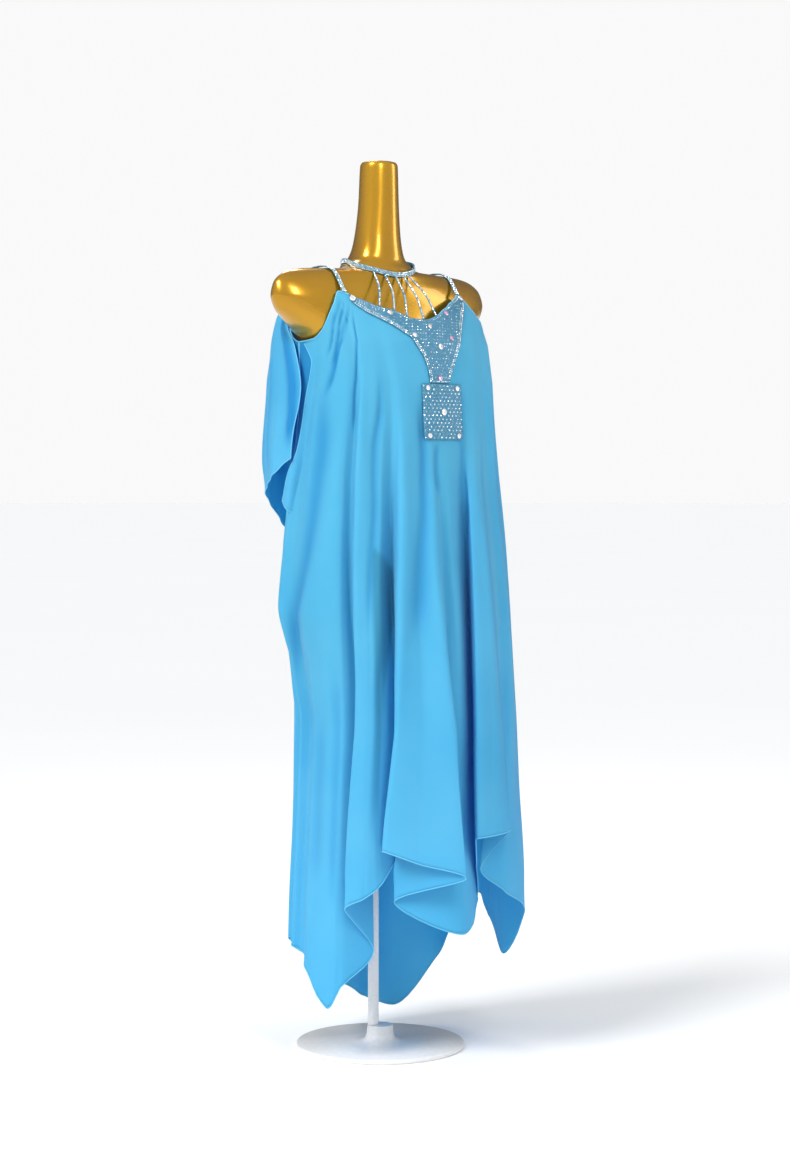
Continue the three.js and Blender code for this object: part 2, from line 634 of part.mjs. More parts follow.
// strands from the choker down to the neckline
for (const [name, angle, u] of strands) {
  const top = chokerPoint(angle, chokerHeight(angle) - CHOKER_WIDTH / 2 - 0.7);
  top.add(new THREE.Vector3(top.x, top.y, 0).setLength(0.9));
  const low = lifted(u, frontPiece.top(u), yokeOut);
  low.z += 1.2;
  const middle = top.clone().lerp(low, 0.5).add(new THREE.Vector3(0, -6, 2.5));
  const points = [top, middle, low];
  const side = new THREE.Vector3(1, 0, 0);
  addPart(name, stripAlong(points, side, STRAND_WIDTH, TRIM), materials.trim);
}

export default dress;
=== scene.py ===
import math
import random

import bmesh
import bpy
from mathutils import Matrix, Vector, noise


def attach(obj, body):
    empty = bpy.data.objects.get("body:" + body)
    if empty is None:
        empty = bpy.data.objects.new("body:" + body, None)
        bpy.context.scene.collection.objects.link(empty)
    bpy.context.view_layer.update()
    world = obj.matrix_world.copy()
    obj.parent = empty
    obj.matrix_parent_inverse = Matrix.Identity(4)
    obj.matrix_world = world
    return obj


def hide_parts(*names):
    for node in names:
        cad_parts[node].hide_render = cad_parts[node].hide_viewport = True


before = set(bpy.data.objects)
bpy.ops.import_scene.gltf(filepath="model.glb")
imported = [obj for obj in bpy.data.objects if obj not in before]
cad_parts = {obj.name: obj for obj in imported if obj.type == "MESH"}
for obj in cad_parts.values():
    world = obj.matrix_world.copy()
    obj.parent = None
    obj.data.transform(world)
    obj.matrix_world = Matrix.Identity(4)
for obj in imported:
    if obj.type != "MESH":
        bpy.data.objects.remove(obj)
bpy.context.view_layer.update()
rand = random.Random(7)

# Tables are in millimetres, z up, the dress facing -y; the stand lifts everything it carries.
mm = 0.001
lift = 45

# curves


def clamp(value):
    return min(1, max(0, value))


def lineCurve(knots):  # straight from knot to knot, level past the ends
    def read(at):
        if at <= knots[0][0]:
            return knots[0][1]
        for a, b in zip(knots, knots[1:]):
            if at <= b[0]:
                return a[1] + (b[1] - a[1]) * (at - a[0]) / (b[0] - a[0])
        return knots[-1][1]

    return read


def softCurve(knots):  # smooth through its knots without overshoot, level past the ends
    steps = [(b[1] - a[1]) / (b[0] - a[0]) for a, b in zip(knots, knots[1:])]
    slopes = [steps[0] / 2]
    slopes += [0 if a * b <= 0 else 2 * a * b / (a + b) for a, b in zip(steps, steps[1:])]
    slopes += [steps[-1] / 2]

    def read(at):
        if at <= knots[0][0]:
            return knots[0][1]
        if at >= knots[-1][0]:
            return knots[-1][1]
        i = 0
        while at > knots[i + 1][0]:
            i += 1
        wide = knots[i + 1][0] - knots[i][0]
        t = (at - knots[i][0]) / wide
        rise = t * t * (3 - 2 * t)
        bend = wide * t * (1 - t)
        level = knots[i][1] * (1 - rise) + knots[i + 1][1] * rise
        return level + bend * ((1 - t) * slopes[i] - t * slopes[i + 1])

    return read


def column(table, at):  # one column of a table with the height first, lowest height first
    return sorted((row[0], row[at]) for row in table)


def halve(low, high, below):  # closes in on where a rule stops being true
    for _ in range(30):
        middle = (low + high) / 2
        if below(middle):
            low = middle
        else:
            high = middle
    return low, high


def planSpline(p0, p1, p2, p3, t):  # centripetal spline through four plan points
    gaps = [max(0.5, math.sqrt(math.dist(a, b))) for a, b in ((p0, p1), (p1, p2), (p2, p3))]
    t1, t2, t3 = gaps[0], gaps[0] + gaps[1], sum(gaps)
    s = t1 + (t2 - t1) * t

    def mix(a, b, start, end):
        f = (s - start) / (end - start)
        return (a[0] + (b[0] - a[0]) * f, a[1] + (b[1] - a[1]) * f)

    a1, a2, a3 = mix(p0, p1, 0, t1), mix(p1, p2, t1, t2), mix(p2, p3, t2, t3)
    return mix(mix(a1, a2, 0, t2), mix(a2, a3, t1, t3), t1, t2)


def toMetres(x, y, z):
    return Vector((x * mm, y * mm, (z + lift) * mm))


# node materials


def newMaterial(name):
    material = bpy.data.materials.new(name)
    material.use_nodes = True
    material.node_tree.nodes.clear()
    return material, material.node_tree


def addNode(tree, kind, values=None, **settings):  # a value that is another node's socket is linked
    made = tree.nodes.new("ShaderNode" + kind)
    for key, value in settings.items():
        setattr(made, key, value)
    for key, value in (values or {}).items():
        if isinstance(value, bpy.types.NodeSocket):
            tree.links.new(value, made.inputs[key])
        else:
            made.inputs[key].default_value = value
    return made


def ramp(tree, source, stops):  # a colour ramp on a value
    made = addNode(tree, "ValToRGB", {"Fac": source})
    bar = made.color_ramp.elements
    while len(bar) < len(stops):
        bar.new(0.5)
    for spot, (at, colour) in zip(bar, stops):
        spot.position = at
        spot.color = (*colour, 1)
    return made.outputs["Color"]


def blend(tree, share, colour, other):  # the colour goes over to the other by the share
    made = addNode(tree, "MixRGB", {"Fac": share, "Color1": colour, "Color2": (*other, 1)})
    return made.outputs["Color"]


def bump(tree, height, strength, distance):
    made = addNode(tree, "Bump", {"Height": height, "Strength": strength, "Distance": distance})
    return made.outputs["Normal"]


def objectNoise(tree, scale, detail, **more):  # a cloudy pattern fixed to the piece
    place = addNode(tree, "TexCoord").outputs["Object"]
    made = addNode(tree, "TexNoise", {"Vector": place, "Scale": scale, "Detail": detail, **more})
    return made.outputs["Fac"]


def spread(tree, value, low, high, start=0.0, end=1.0):  # the value's range moved to low and high
    made = addNode(tree, "MapRange", {"Value": value, "From Min": start, "From Max": end,
                                      "To Min": low, "To Max": high})
    return made.outputs["Result"]


def finishMaterial(material, values):  # one plain shader
    tree = material.node_tree
    shader = addNode(tree, "BsdfPrincipled", values)
    addNode(tree, "OutputMaterial", {"Surface": shader.outputs["BSDF"]})
    return material


chiffonLook = {
    "pale": (0.150, 0.66, 0.90),
    "deep": (0.105, 0.585, 0.85),
    "through": (0.075, 0.56, 0.88),
    "throughShare": 0.45,
    "doubledAndShaded": (0.030, 0.38, 0.74),         # painted shade in troughs and behind open edges, partly the deeper tone where the cloth lies over itself
    # the same painted shade on the light let through
    "doubledAndShadedThrough": (0.020, 0.36, 0.78),
    "thin": (0.045, 0.30, 0.42),            # painted shade of the dark inside seen through one sheer layer
    "thread": 1500,
    "threadShape": 0.06,
}
rolledLook = {"pale": (0.20, 0.68, 0.94), "deep": (0.14, 0.60, 0.90), "through": (0.08, 0.55, 0.92),
              "throughShare": 0.2}


def makeChiffon(name, look):
    material, tree = newMaterial(name)
    cut = addNode(tree, "UVMap", uv_map="cut").outputs["UV"]
    cloud = objectNoise(tree, 5.0, 3.0, Roughness=0.55)
    fold = addNode(tree, "Attribute", attribute_name="fold").outputs["Fac"]
    thin = addNode(tree, "Attribute", attribute_name="thin").outputs["Fac"]
    colour = ramp(tree, cloud, [(0.3, look["deep"]), (0.7, look["pale"])])
    # painted shade: the fold attribute darkens the troughs and the places behind the open edges, partly as
    # the deeper tone of doubled cloth
    colour = blend(tree, fold, colour, chiffonLook["doubledAndShaded"])
    # painted shade of the dark inside seen through one sheer layer
    colour = blend(tree, thin, colour, chiffonLook["thin"])
    threads = []
    fine, narrow = chiffonLook["thread"], chiffonLook["thread"] * chiffonLook["threadShape"]
    for scale in ((fine, narrow, 1), (narrow, fine, 1)):  # warp, then weft
        turn = addNode(tree, "Mapping", {"Vector": cut, "Scale": scale})
        thread = addNode(tree, "TexNoise", {"Vector": turn.outputs["Vector"], "Scale": 1.0, "Detail": 2.0})
        threads.append(thread.outputs["Fac"])
    weave = addNode(tree, "Math", dict(enumerate(threads)), operation="ADD").outputs["Value"]
    normal = bump(tree, weave, 0.12, 0.0006)
    cloth = addNode(tree, "BsdfPrincipled", {
        "Base Color": colour, "Normal": normal, "Roughness": spread(tree, weave, 0.62, 0.8, 0.7, 1.3),
        "Specular IOR Level": 0.25, "Sheen Weight": 0.22, "Sheen Roughness": 0.45,
        "Sheen Tint": (0.7, 0.9, 1, 1)})
    # the same painted shade on the light let through
    passed = blend(tree, fold, (*look["through"], 1), chiffonLook["doubledAndShadedThrough"])
    glow = addNode(tree, "BsdfTranslucent", {"Color": passed, "Normal": normal})
    both = addNode(tree, "MixShader", {0: look["throughShare"], 1: cloth.outputs["BSDF"],
                                       2: glow.outputs["BSDF"]})
    addNode(tree, "OutputMaterial", {"Surface": both.outputs["Shader"]})
    return material


chiffon = makeChiffon("skyChiffon", chiffonLook)
rolled = makeChiffon("rolledEdge", rolledLook)

glitterLook = {
    "grains": 1300.0,
    "tones": [(0.0, (0.035, 0.17, 0.29)), (0.5, (0.06, 0.25, 0.40)), (0.9, (0.09, 0.32, 0.48)),
              (0.99, (0.3, 0.5, 0.62))],
}


def makeGlitter():  # the crystal-dusted ground under the stones
    material, tree = newMaterial("glitterGround")
    cut = addNode(tree, "UVMap", uv_map="cut").outputs["UV"]
    grains = addNode(tree, "TexVoronoi", {"Vector": cut, "Scale": glitterLook["grains"], "Randomness": 1.0})
    split = addNode(tree, "SeparateColor", {"Color": grains.outputs["Color"]})
    red, green, blue = (split.outputs[key] for key in ("Red", "Green", "Blue"))
    return finishMaterial(material, {
        "Base Color": ramp(tree, red, glitterLook["tones"]), "Normal": bump(tree, green, 0.5, 0.0008),
        "Roughness": spread(tree, blue, 0.2, 0.5), "Metallic": 0.2})


# stone name: tones by each stone's random "glint" value (painted glints from dark to white over the stone's
# own tint), roughness, strength of a painted glow
stoneLooks = {
    "smallCrystal": ([(0.0, (0.10, 0.20, 0.26)), (0.25, (0.42, 0.60, 0.66)), (0.5, (0.80, 0.88, 0.90)),
                      (0.8, (0.95, 0.97, 0.97)), (1.0, (0.86, 0.78, 0.86))], 0.14, 0.2),
    "cutStone": ([(0.0, (0.30, 0.26, 0.30)), (0.3, (0.85, 0.82, 0.84)), (0.6, (0.97, 0.97, 0.97)),
                  (1.0, (0.82, 0.72, 0.80))], 0.06, 0.15),
    "roseStone": ([(0.0, (0.40, 0.16, 0.34)), (0.5, (0.85, 0.48, 0.70)), (1.0, (0.97, 0.86, 0.92))],
                  0.06, 0.15),
}


def makeCrystal(name):  # foil-backed glass, with painted glints in its tones and a faint painted glow
    stops, roughness, glow = stoneLooks[name]
    material, tree = newMaterial(name)
    colour = ramp(tree, addNode(tree, "Attribute", attribute_name="glint").outputs["Fac"], stops)
    return finishMaterial(material, {
        "Base Color": colour, "Normal": bump(tree, objectNoise(tree, 900.0, 1.0), 0.15, 0.0004),
        "Metallic": 0.8, "Roughness": roughness, "Coat Weight": 1.0, "Coat Roughness": 0.02,
        "Emission Strength": glow, "Emission Color": colour})


glitter = makeGlitter()
crystal, bigCrystal, pinkCrystal = (makeCrystal(name) for name in stoneLooks)

goldLook = {"bright": (0.64, 0.34, 0.010), "dark": (0.44, 0.20, 0.005), "metal": 0.75, "roughness": 0.24}


def makeGold():
    material, tree = newMaterial("goldLacquer")
    cloud = objectNoise(tree, 4.0, 2.0)
    return finishMaterial(material, {
        "Base Color": ramp(tree, cloud, [(0.3, goldLook["dark"]), (0.65, goldLook["bright"])]),
        "Normal": bump(tree, objectNoise(tree, 1400.0, 2.0), 0.04, 0.0004),
        "Roughness": spread(tree, cloud, goldLook["roughness"] - 0.06, goldLook["roughness"] + 0.08),
        "Metallic": goldLook["metal"], "Coat Weight": 0.55, "Coat Roughness": 0.04, "Coat IOR": 1.5})


def makeEnamel():
    material, tree = newMaterial("whiteEnamel")
    peel = objectNoise(tree, 160.0, 2.0)
    return finishMaterial(material, {
        "Base Color": ramp(tree, peel, [(0.3, (0.78, 0.78, 0.77)), (0.7, (0.84, 0.84, 0.83))]),
        "Normal": bump(tree, peel, 0.05, 0.0005), "Roughness": spread(tree, peel, 0.3, 0.42),
        "Coat Weight": 0.5, "Coat Roughness": 0.1})


goldLacquer = makeGold()
enamel = makeEnamel()

# mesh helpers


def finishPiece(name, mesh, material, smoothFaces=True):
    data = bpy.data.meshes.new(name)
    mesh.to_mesh(data)
    mesh.free()
    data.materials.append(material)
    if smoothFaces:
        data.shade_smooth()
    made = bpy.data.objects.new(name, data)
    bpy.context.scene.collection.objects.link(made)
    return made


def clothGrid(columns, rows, place, size):  # a flat grid moved to place(s, t), with t at 1 at the top
    mesh = bmesh.new()
    mesh.loops.layers.uv.new("cut")
    # these two layers hold painted shade: in troughs and gaps, and of the inside seen through
    mesh.verts.layers.float.new("fold")
    mesh.verts.layers.float.new("thin")
    bmesh.ops.create_grid(mesh, x_segments=columns, y_segments=rows, size=1)
    cut = mesh.loops.layers.uv["cut"]
    for face in mesh.faces:
        for loop in face.loops:
            flat = loop.vert.co
            loop[cut].uv = ((flat.x + 1) / 2 * size[0], (flat.y + 1) / 2 * size[1])
    spots = {vert: ((vert.co.x + 1) / 2, (vert.co.y + 1) / 2) for vert in mesh.verts}
    for vert, (s, t) in spots.items():
        vert.co = place(s, t)
    mesh.normal_update()
    return mesh, spots


def gridEdge(spots, axis, end):  # points where s (axis 0) or t (axis 1) is at its end, left to right or down
    found = [(spot[0] if axis else -spot[1], vert.co.copy()) for vert, spot in spots.items()
             if abs(spot[axis] - end) < 0.0001]
    return [at for _, at in sorted(found, key=lambda pair: pair[0])]


def trackTo(way):  # the turn that points a lamp or camera along a direction
    return way.to_track_quat("-Z", "Y").to_euler()


def tube(name, path, radius, material, sides=6):  # a rolled edge along a path of points
    mesh = bmesh.new()
    steps = len(path) - 1
    mesh.loops.layers.uv.new("cut")
    bmesh.ops.create_grid(mesh, x_segments=steps, y_segments=sides, size=1)
    cut = mesh.loops.layers.uv["cut"]
    for face in mesh.faces:
        for loop in face.loops:
            loop[cut].uv = ((loop.vert.co.x + 1) / 2, (loop.vert.co.y + 1) / 2 * 0.01)
    frames = []
    side = None
    for i, point in enumerate(path):
        along = (path[min(i + 1, steps)] - path[max(i - 1, 0)]).normalized()
        if side is None:
            side = along.cross(Vector((0.3, 0.2, 1))).normalized()
        side = (side - along * side.dot(along)).normalized()
        frames.append((point, side.copy(), along.cross(side)))
    for vert in mesh.verts:
        turn = (vert.co.y + 1) * math.pi
        point, a, b = frames[round((vert.co.x + 1) / 2 * steps)]
        vert.co = point + (a * math.cos(turn) + b * math.sin(turn)) * radius * mm
    bmesh.ops.remove_doubles(mesh, verts=mesh.verts, dist=radius * mm * 0.05)
    bmesh.ops.holes_fill(mesh, edges=[e for e in mesh.edges if e.is_boundary], sides=0)
    bmesh.ops.recalc_face_normals(mesh, faces=mesh.faces)
    return finishPiece(name, mesh, material)


def settle(made, *nodes, slotName=None):  # rides the one body and stands for its solids
    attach(made, "root")
    if nodes:
        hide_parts(*nodes)
    return made


def walled(name, mesh, material, thick, node, slotName):  # settled cloth with its thickness
    made = finishPiece(name, mesh, material)
    wall = made.modifiers.new("wall", "SOLIDIFY")
    wall.thickness = thick * mm
    wall.offset = 0
    wall.use_even_offset = False
    return settle(made, node, slotName=slotName)


# studio
studio = {
    "lookAt": (0.0, 0.0, 0.784), "distance": 4.2, "azimuth": -43, "elevation": 2.5, "slide": 0.0248,
    "lens": 79.47, "air": 0.68, "airBeyond": 0.14, "backdrop": 0.95, "sun": 2.3, "sunTurn": -90,
    "sunHeight": 42, "sunWidth": 24,
    # turn, height, distance, power, width, height of the box
    "boxes": {"frontBox": (-20, 34, 2.6, 16, 0.5, 1.2), "sideBox": (60, 20, 3.0, 12, 0.7, 1.6),
              "hairBox": (150, 50, 2.8, 18, 0.8, 0.8)},
}


def around(azimuth, elevation):
    a, e = math.radians(azimuth), math.radians(elevation)
    return Vector((math.sin(a) * math.cos(e), -math.cos(a) * math.cos(e), math.sin(e)))


def makeStudio():
    scene = bpy.context.scene
    scene.view_settings.view_transform = "Standard"
    back = around(studio["azimuth"], studio["elevation"])
    sideways = around(studio["azimuth"] + 90, 0)
    lens = bpy.data.cameras.new("camera")
    lens.lens = studio["lens"]
    lens.sensor_width = 36
    camera = bpy.data.objects.new("camera", lens)
    camera.location = Vector(studio["lookAt"]) + sideways * studio["slide"] + back * studio["distance"]
    camera.rotation_euler = trackTo(-back)
    scene.collection.objects.link(camera)
    scene.camera = camera

    world = bpy.data.worlds.new("studioAir")
    scene.world = world
    world.use_nodes = True
    tree = world.node_tree
    tree.nodes.clear()
    seen = addNode(tree, "Background", {"Color": (1, 1, 1, 1), "Strength": studio["backdrop"]})
    way = addNode(tree, "TexCoord").outputs["Generated"]
    beyond = addNode(tree, "VectorMath", {0: way, 1: -around(studio["azimuth"], 0)}, operation="DOT_PRODUCT")
    dim = spread(tree, beyond.outputs["Value"], studio["air"], studio["airBeyond"], -0.1, 0.8)
    light = addNode(tree, "Background", {"Color": (0.97, 0.985, 1, 1), "Strength": dim})
    ray = addNode(tree, "LightPath").outputs["Is Camera Ray"]
    mix = addNode(tree, "MixShader", {0: ray, 1: light.outputs["Background"], 2: seen.outputs["Background"]})
    addNode(tree, "OutputWorld", {"Surface": mix.outputs["Shader"]})

    sun = bpy.data.lights.new("softKey", "SUN")
    sun.energy = studio["sun"]
    sun.angle = math.radians(studio["sunWidth"])
    key = bpy.data.objects.new("softKey", sun)
    key.rotation_euler = trackTo(-around(studio["sunTurn"], studio["sunHeight"]))
    scene.collection.objects.link(key)
    for name, (turn, height, far, power, wide, tall) in studio["boxes"].items():
        lamp = bpy.data.lights.new(name, "AREA")
        lamp.shape = "RECTANGLE"
        lamp.size, lamp.size_y, lamp.energy = wide, tall, power
        box = bpy.data.objects.new(name, lamp)
        box.location = Vector((0, 0, 1.0)) + around(turn, height) * far
        box.rotation_euler = trackTo(-around(turn, height))
        scene.collection.objects.link(box)

    mesh = bmesh.new()
    bmesh.ops.create_circle(mesh, cap_ends=True, radius=60, segments=64)
    material, tree = newMaterial("paleFloor")
    tones = [(0.2, (0.955, 0.955, 0.957)), (0.8, (0.965, 0.965, 0.967))]
    finishMaterial(material, {"Base Color": ramp(tree, objectNoise(tree, 0.7, 1.0), tones), "Roughness": 0.9,
                              "Specular IOR Level": 0.1})
    finishPiece("studioFloor", mesh, material, False)


makeStudio()
print("studio ready")

# dress form and stand
form = {
    "sides": 96, "rowSteps": 5,
    # height, half width, depth in front, depth behind, squareness
    "rings": [
        (1417, 28, 24, 31, 2), (1412, 31, 27, 34, 2), (1350, 33.5, 28, 38, 2), (1305, 37, 28.5, 45, 2),
        (1276, 41, 31, 53, 2), (1260, 47, 33, 62, 2), (1250, 60, 37, 72, 1.9), (1244, 70, 41, 73, 1.7),
        (1240.5, 88, 43, 70, 1.4), (1239, 118, 44, 66, 1.22), (1237, 160, 45, 61, 1.22),
        (1233, 192, 47, 57, 1.35), (1225, 213, 49, 56, 1.6), (1211, 226, 54, 57, 1.9),
        (1192, 229, 60, 59, 2.1), (1172, 221, 65, 63, 2.1), (1151, 196, 72, 67, 2.2),
        (1128, 165, 88, 80, 2.2), (1110, 154, 98, 84, 2.2), (1085, 153, 114, 87, 2.2),
        (1060, 150, 125, 88, 2.2), (1030, 146, 127, 86, 2.2), (990, 138, 117, 82, 2.2),
        (940, 128, 100, 78, 2.2), (880, 119, 89, 78, 2.2), (820, 129, 92, 86, 2.2),
        (760, 141, 96, 99, 2.2), (700, 150, 98, 107, 2.2), (640, 150, 96, 105, 2.2),
        (590, 142, 89, 96, 2.2), (568, 130, 80, 86, 2.2), (560, 112, 66, 71, 2.2),
    ],
}


def formRing(steps):  # the form's ring at a fractional row number
    rows = form["rings"]
    i = min(int(steps), len(rows) - 2)
    t = steps - i
    p = [rows[max(i - 1, 0)], rows[i], rows[i + 1], rows[min(i + 2, len(rows) - 1)]]
    ring = []
    for a, b, c, d in zip(*p):
        m1 = 0 if (b - a) * (c - b) <= 0 else 2 * (b - a) * (c - b) / (c - a)
        m2 = 0 if (c - b) * (d - c) <= 0 else 2 * (c - b) * (d - c) / (d - b)
        rise = t * t * (3 - 2 * t)
        ring.append(b * (1 - rise) + c * rise + t * (1 - t) * ((1 - t) * m1 - t * m2))
    return ring


def squareRing(angle, wide, front, back, square):
    sn, cs = math.sin(angle), math.cos(angle)
    deep = front if cs > 0 else back
    power = 2 / square
    return (math.copysign(abs(sn) ** power * wide, sn), -math.copysign(abs(cs) ** power * deep, cs))


def makeForm():
    mesh = bmesh.new()
    rows = (len(form["rings"]) - 1) * form["rowSteps"]
    bmesh.ops.create_grid(mesh, x_segments=form["sides"], y_segments=rows, size=1)
    for vert in mesh.verts:
        z, wide, front, back, square = formRing((1 - vert.co.y) / 2 * (len(form["rings"]) - 1))
        x, y = squareRing((vert.co.x + 1) * math.pi, wide, front, back, square)
        vert.co = toMetres(x, y, z)
    bmesh.ops.remove_doubles(mesh, verts=mesh.verts, dist=0.00002)
    bmesh.ops.holes_fill(mesh, edges=[e for e in mesh.edges if e.is_boundary], sides=0)
    caps = [f for f in mesh.faces if len(f.verts) > 4]
    bmesh.ops.inset_region(mesh, faces=caps, thickness=0.004, depth=0.0012)
    bmesh.ops.recalc_face_normals(mesh, faces=mesh.faces)
    return settle(finishPiece("dressForm", mesh, goldLacquer), "form_torso", slotName="gold")


makeForm()

stand = {"baseRadius": 140, "baseThick": 8, "hubRadius": 20, "hubTop": 36}


def makeStandBase():
    r, t, h, top = stand["baseRadius"], stand["baseThick"], stand["hubRadius"], stand["hubTop"]
    outline = [(0, 0), (r - 2, 0), (r, 2), (r, t - 2), (r - 2, t), (h + 30, t + 0.6), (h + 14, t + 1.6),
               (h + 6, t + 5), (h + 2.5, t + 12), (h + 1, top - 2), (h, top), (0, top)]
    mesh = bmesh.new()
    verts = [mesh.verts.new((x * mm, 0, z * mm)) for x, z in outline]
    edges = [mesh.edges.new(pair) for pair in zip(verts, verts[1:])]
    bmesh.ops.spin(mesh, geom=verts + edges, axis=(0, 0, 1), cent=(0, 0, 0), steps=96, angle=math.tau,
                   use_merge=True)
    bmesh.ops.remove_doubles(mesh, verts=mesh.verts, dist=0.00001)
    bmesh.ops.recalc_face_normals(mesh, faces=mesh.faces)
    for edge in mesh.edges:
        edge.smooth = edge.calc_face_angle(0) < math.radians(50)
    return settle(finishPiece("roundBase", mesh, enamel), "stand_base", slotName="enamel")


makeStandBase()
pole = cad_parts["stand_pole"]
pole.data.materials.clear()
pole.data.materials.append(enamel)
print("dress form and stand ready")

# the hang of the cloth
# ease round the body: height, right, left, front, back, squareness
ease = [
    (-20, 158, 234, 244, 140, 2.0), (250, 158, 229, 238, 138, 2.0), (500, 158, 226, 214, 134, 2.05),
    (690, 169, 223, 186, 130, 2.1), (800, 172, 221, 168, 120, 2.15), (900, 169, 217, 152, 108, 2.2),
    (1000, 162, 211, 144, 102, 2.25), (1055, 161, 207, 141, 99, 2.3), (1120, 166, 202, 128, 93, 2.35),
    (1160, 173, 196, 106, 91, 2.4), (1202, 171, 170, 76, 76, 2.4),
]
easeRight, easeLeft, easeFront, easeBack, easeSquare = (lineCurve(column(ease, k)) for k in range(1, 6))
levels = {"low": 276, "hip": 690, "chest": 987, "top": 1027}  # where the fold lines are given
openFade = {"start": -60, "over": 38, "end": -150, "endOver": 28}  # degrees round the open side
# how far the open right side stands out, by height
sideSwell = softCurve([
    (120, 0), (235, -5), (334, -11), (433, -16), (508, -19), (557, -14), (607, -8), (640, 0), (690, 9),
    (740, 6), (800, 2), (860, 0), (1119, 0)])


def foldPlan(topAngle, topZ, chest, chestOut, hip, hipOut, low, lowOut):  # a fold line's place at a height
    top = max(topZ, levels["top"])
    angle = softCurve([(levels["low"], low), (levels["hip"], hip), (levels["chest"], chest), (top, topAngle)])
    out = softCurve([(levels["low"], lowOut), (levels["hip"], hipOut), (levels["chest"], chestOut), (top, 0)])

    def plan(z):
        turn = angle(z)
        facing = (turn + 540) % 360 - 180
        openSide = clamp((openFade["start"] - facing) / openFade["over"])
        openSide *= clamp((facing - openFade["end"]) / openFade["endOver"])
        push = out(z) + sideSwell(z) * openSide
        wide = (easeLeft(z) if math.sin(math.radians(turn)) > 0 else easeRight(z)) + push
        return squareRing(math.radians(turn), wide, easeFront(z) + push, easeBack(z) + push, easeSquare(z))

    return plan


def hangingPiece(plans, tops, hems):  # plan point for a fold number and height, and the top and hem there
    last = len(plans) - 1

    def at(u, z):
        i = min(max(int(u), 0), last - 1)
        p1, p2 = plans[i](z), plans[i + 1](z)
        p0 = plans[i - 1](z) if i > 0 else (2 * p1[0] - p2[0], 2 * p1[1] - p2[1])
        p3 = plans[i + 2](z) if i + 2 <= last else (2 * p2[0] - p1[0], 2 * p2[1] - p1[1])
        x, y = planSpline(p0, p1, p2, p3, u - i)
        return Vector((x, y, z))

    top, hem = (softCurve(list(enumerate(heights))) for heights in (tops, hems))
    return {"last": last, "at": at, "top": top, "hem": hem}


def outward(piece, u, z):
    across = piece["at"](min(u + 0.02, piece["last"]), z) - piece["at"](max(u - 0.02, 0), z)
    return across.cross(piece["at"](u, z + 2) - piece["at"](u, z - 2)).normalized()


# fold lines, wearer's right to left:
# top angle, top height, chest angle, chest out, hip angle, hip out, low angle, low out, hem height
frontFolds = {
    "sideEdge": (-95, 1119, -99, 0, -119, 1, -118, -2, 140),
    "sideCrest": (-89, 1120, -94, 3, -110, 7, -110, 4, 136),
    "sideValley": (-82, 1123, -89, -2, -101, -5, -103, -8, 128),
    "pleat1Left": (-75, 1133, -81, 4, -86, 7, -90, 6, 106),
    "pleat1Crest": (-66, 1155, -68, 3, -75, 10, -78, 10, 50),
    "pleat1Right": (-58, 1178, -60, 2, -66, 7, -72.5, 3, 86),
    "tuck1": (-51, 1198, -55, -5, -62, -13, -61.5, -42, 140),
    "pleat2Left": (-46.5, 1196, -51, 3, -57, 9, -68, 20, 215),
    "pleat2Crest": (-43.5, 1193, -44, 2, -51, 10, -60, 18, 235),
    "pleat2Right": (-40.5, 1188.5, -37.5, 0, -45, 2, -54, 6, 254),
    "tuck2": (-34, 1183, -31, -5, -38, -30, -45, -30, 306),
    "pleat3Left": (-27, 1175, -25.5, 3, -35, 11, -52, 26, 313),
    "pleat3Crest": (-16.5, 1168, -15, 0, -25, 5, -36, 19, 293),
    "pleat3Right": (-7, 1156.5, -7.5, 0, -15, 15, -15.5, 28, 271),
    "tuck3": (0, 1155, -2, 0, -6, -10, -48, -14, 227),
    "pleat3Inner": (6, 1162.5, 3, 0, -1, -2, -7, -24, 173),
    "tuck4": (13, 1174, 10, 0, 18.5, -34, 19, -56, 218),
    "pleat4Left": (18, 1180, 15, 1, 6.5, 8, -4, 11, 329),
    "pleat4Crest": (22, 1186, 20, 3, 13, 12, 5, 17, 331),
    "pleat4Right": (27, 1190.5, 25.5, 2, 20, 9, 17.5, 15, 334),
    "tuck5": (34, 1197, 33, -3, 38, -8, 8, -26, 273),
    "pleat5Left": (41, 1203, 40, 2, 42, 4, 20, -5, 230),
    "pleat5Crest": (52, 1178, 50, 3, 52, 8, 53, 8, 175),
    "pleat5Back": (66, 1135, 63, -3, 64, -4, 70, -8, 94),
    "leftSeam": (80, 1119, 77, 0, 78, 5, 84, 2, 148),
}
backFolds = {
    "leftSeam": (80.4, 1119, 77.4, 0, 78.4, 5, 84.4, 2, 148),
    "pleat1Crest": (96, 1121, 92, 3, 92, 10, 93, 10, 184),
    "tuck1": (108, 1136, 103, -2, 104, -8, 105, -12, 143),
    "pleat2Crest": (120, 1162, 116, 3, 121, 12, 121, 16, 70),
    "tuck2": (131, 1184, 131, -2, 139, -5, 145, -14, -10),
    "pleat3Crest": (140, 1197, 146, 4, 152, 14, 157, 20, 2),
    "tuck3": (153, 1184, 160, -2, 165, -4, 169, -12, 31),
    "pleat4Crest": (167, 1165, 173, 3, 178, 13, 180, 20, 54),
    "tuck4": (180, 1158, 186, -2, 190, -4, 192, -12, 80),
    "pleat5Crest": (193, 1165, 200, 4, 204, 10, 206, 12, 112),
    "tuck5": (207, 1184, 213, -2, 216, -4, 217, -10, 118),
    "pleat6Crest": (220, 1197, 227, 3, 227, 4, 227, 4, 138),
    "tuck6": (239, 1154, 238, -2, 233, -5, 233, -8, 144),
    "pleat7Crest": (252, 1128, 249, 2, 237.5, 1, 238, 0, 141),
    "rightEdge": (264.2, 1119, 260.2, 0, 240.2, 1, 241.4, -2, 141),
}
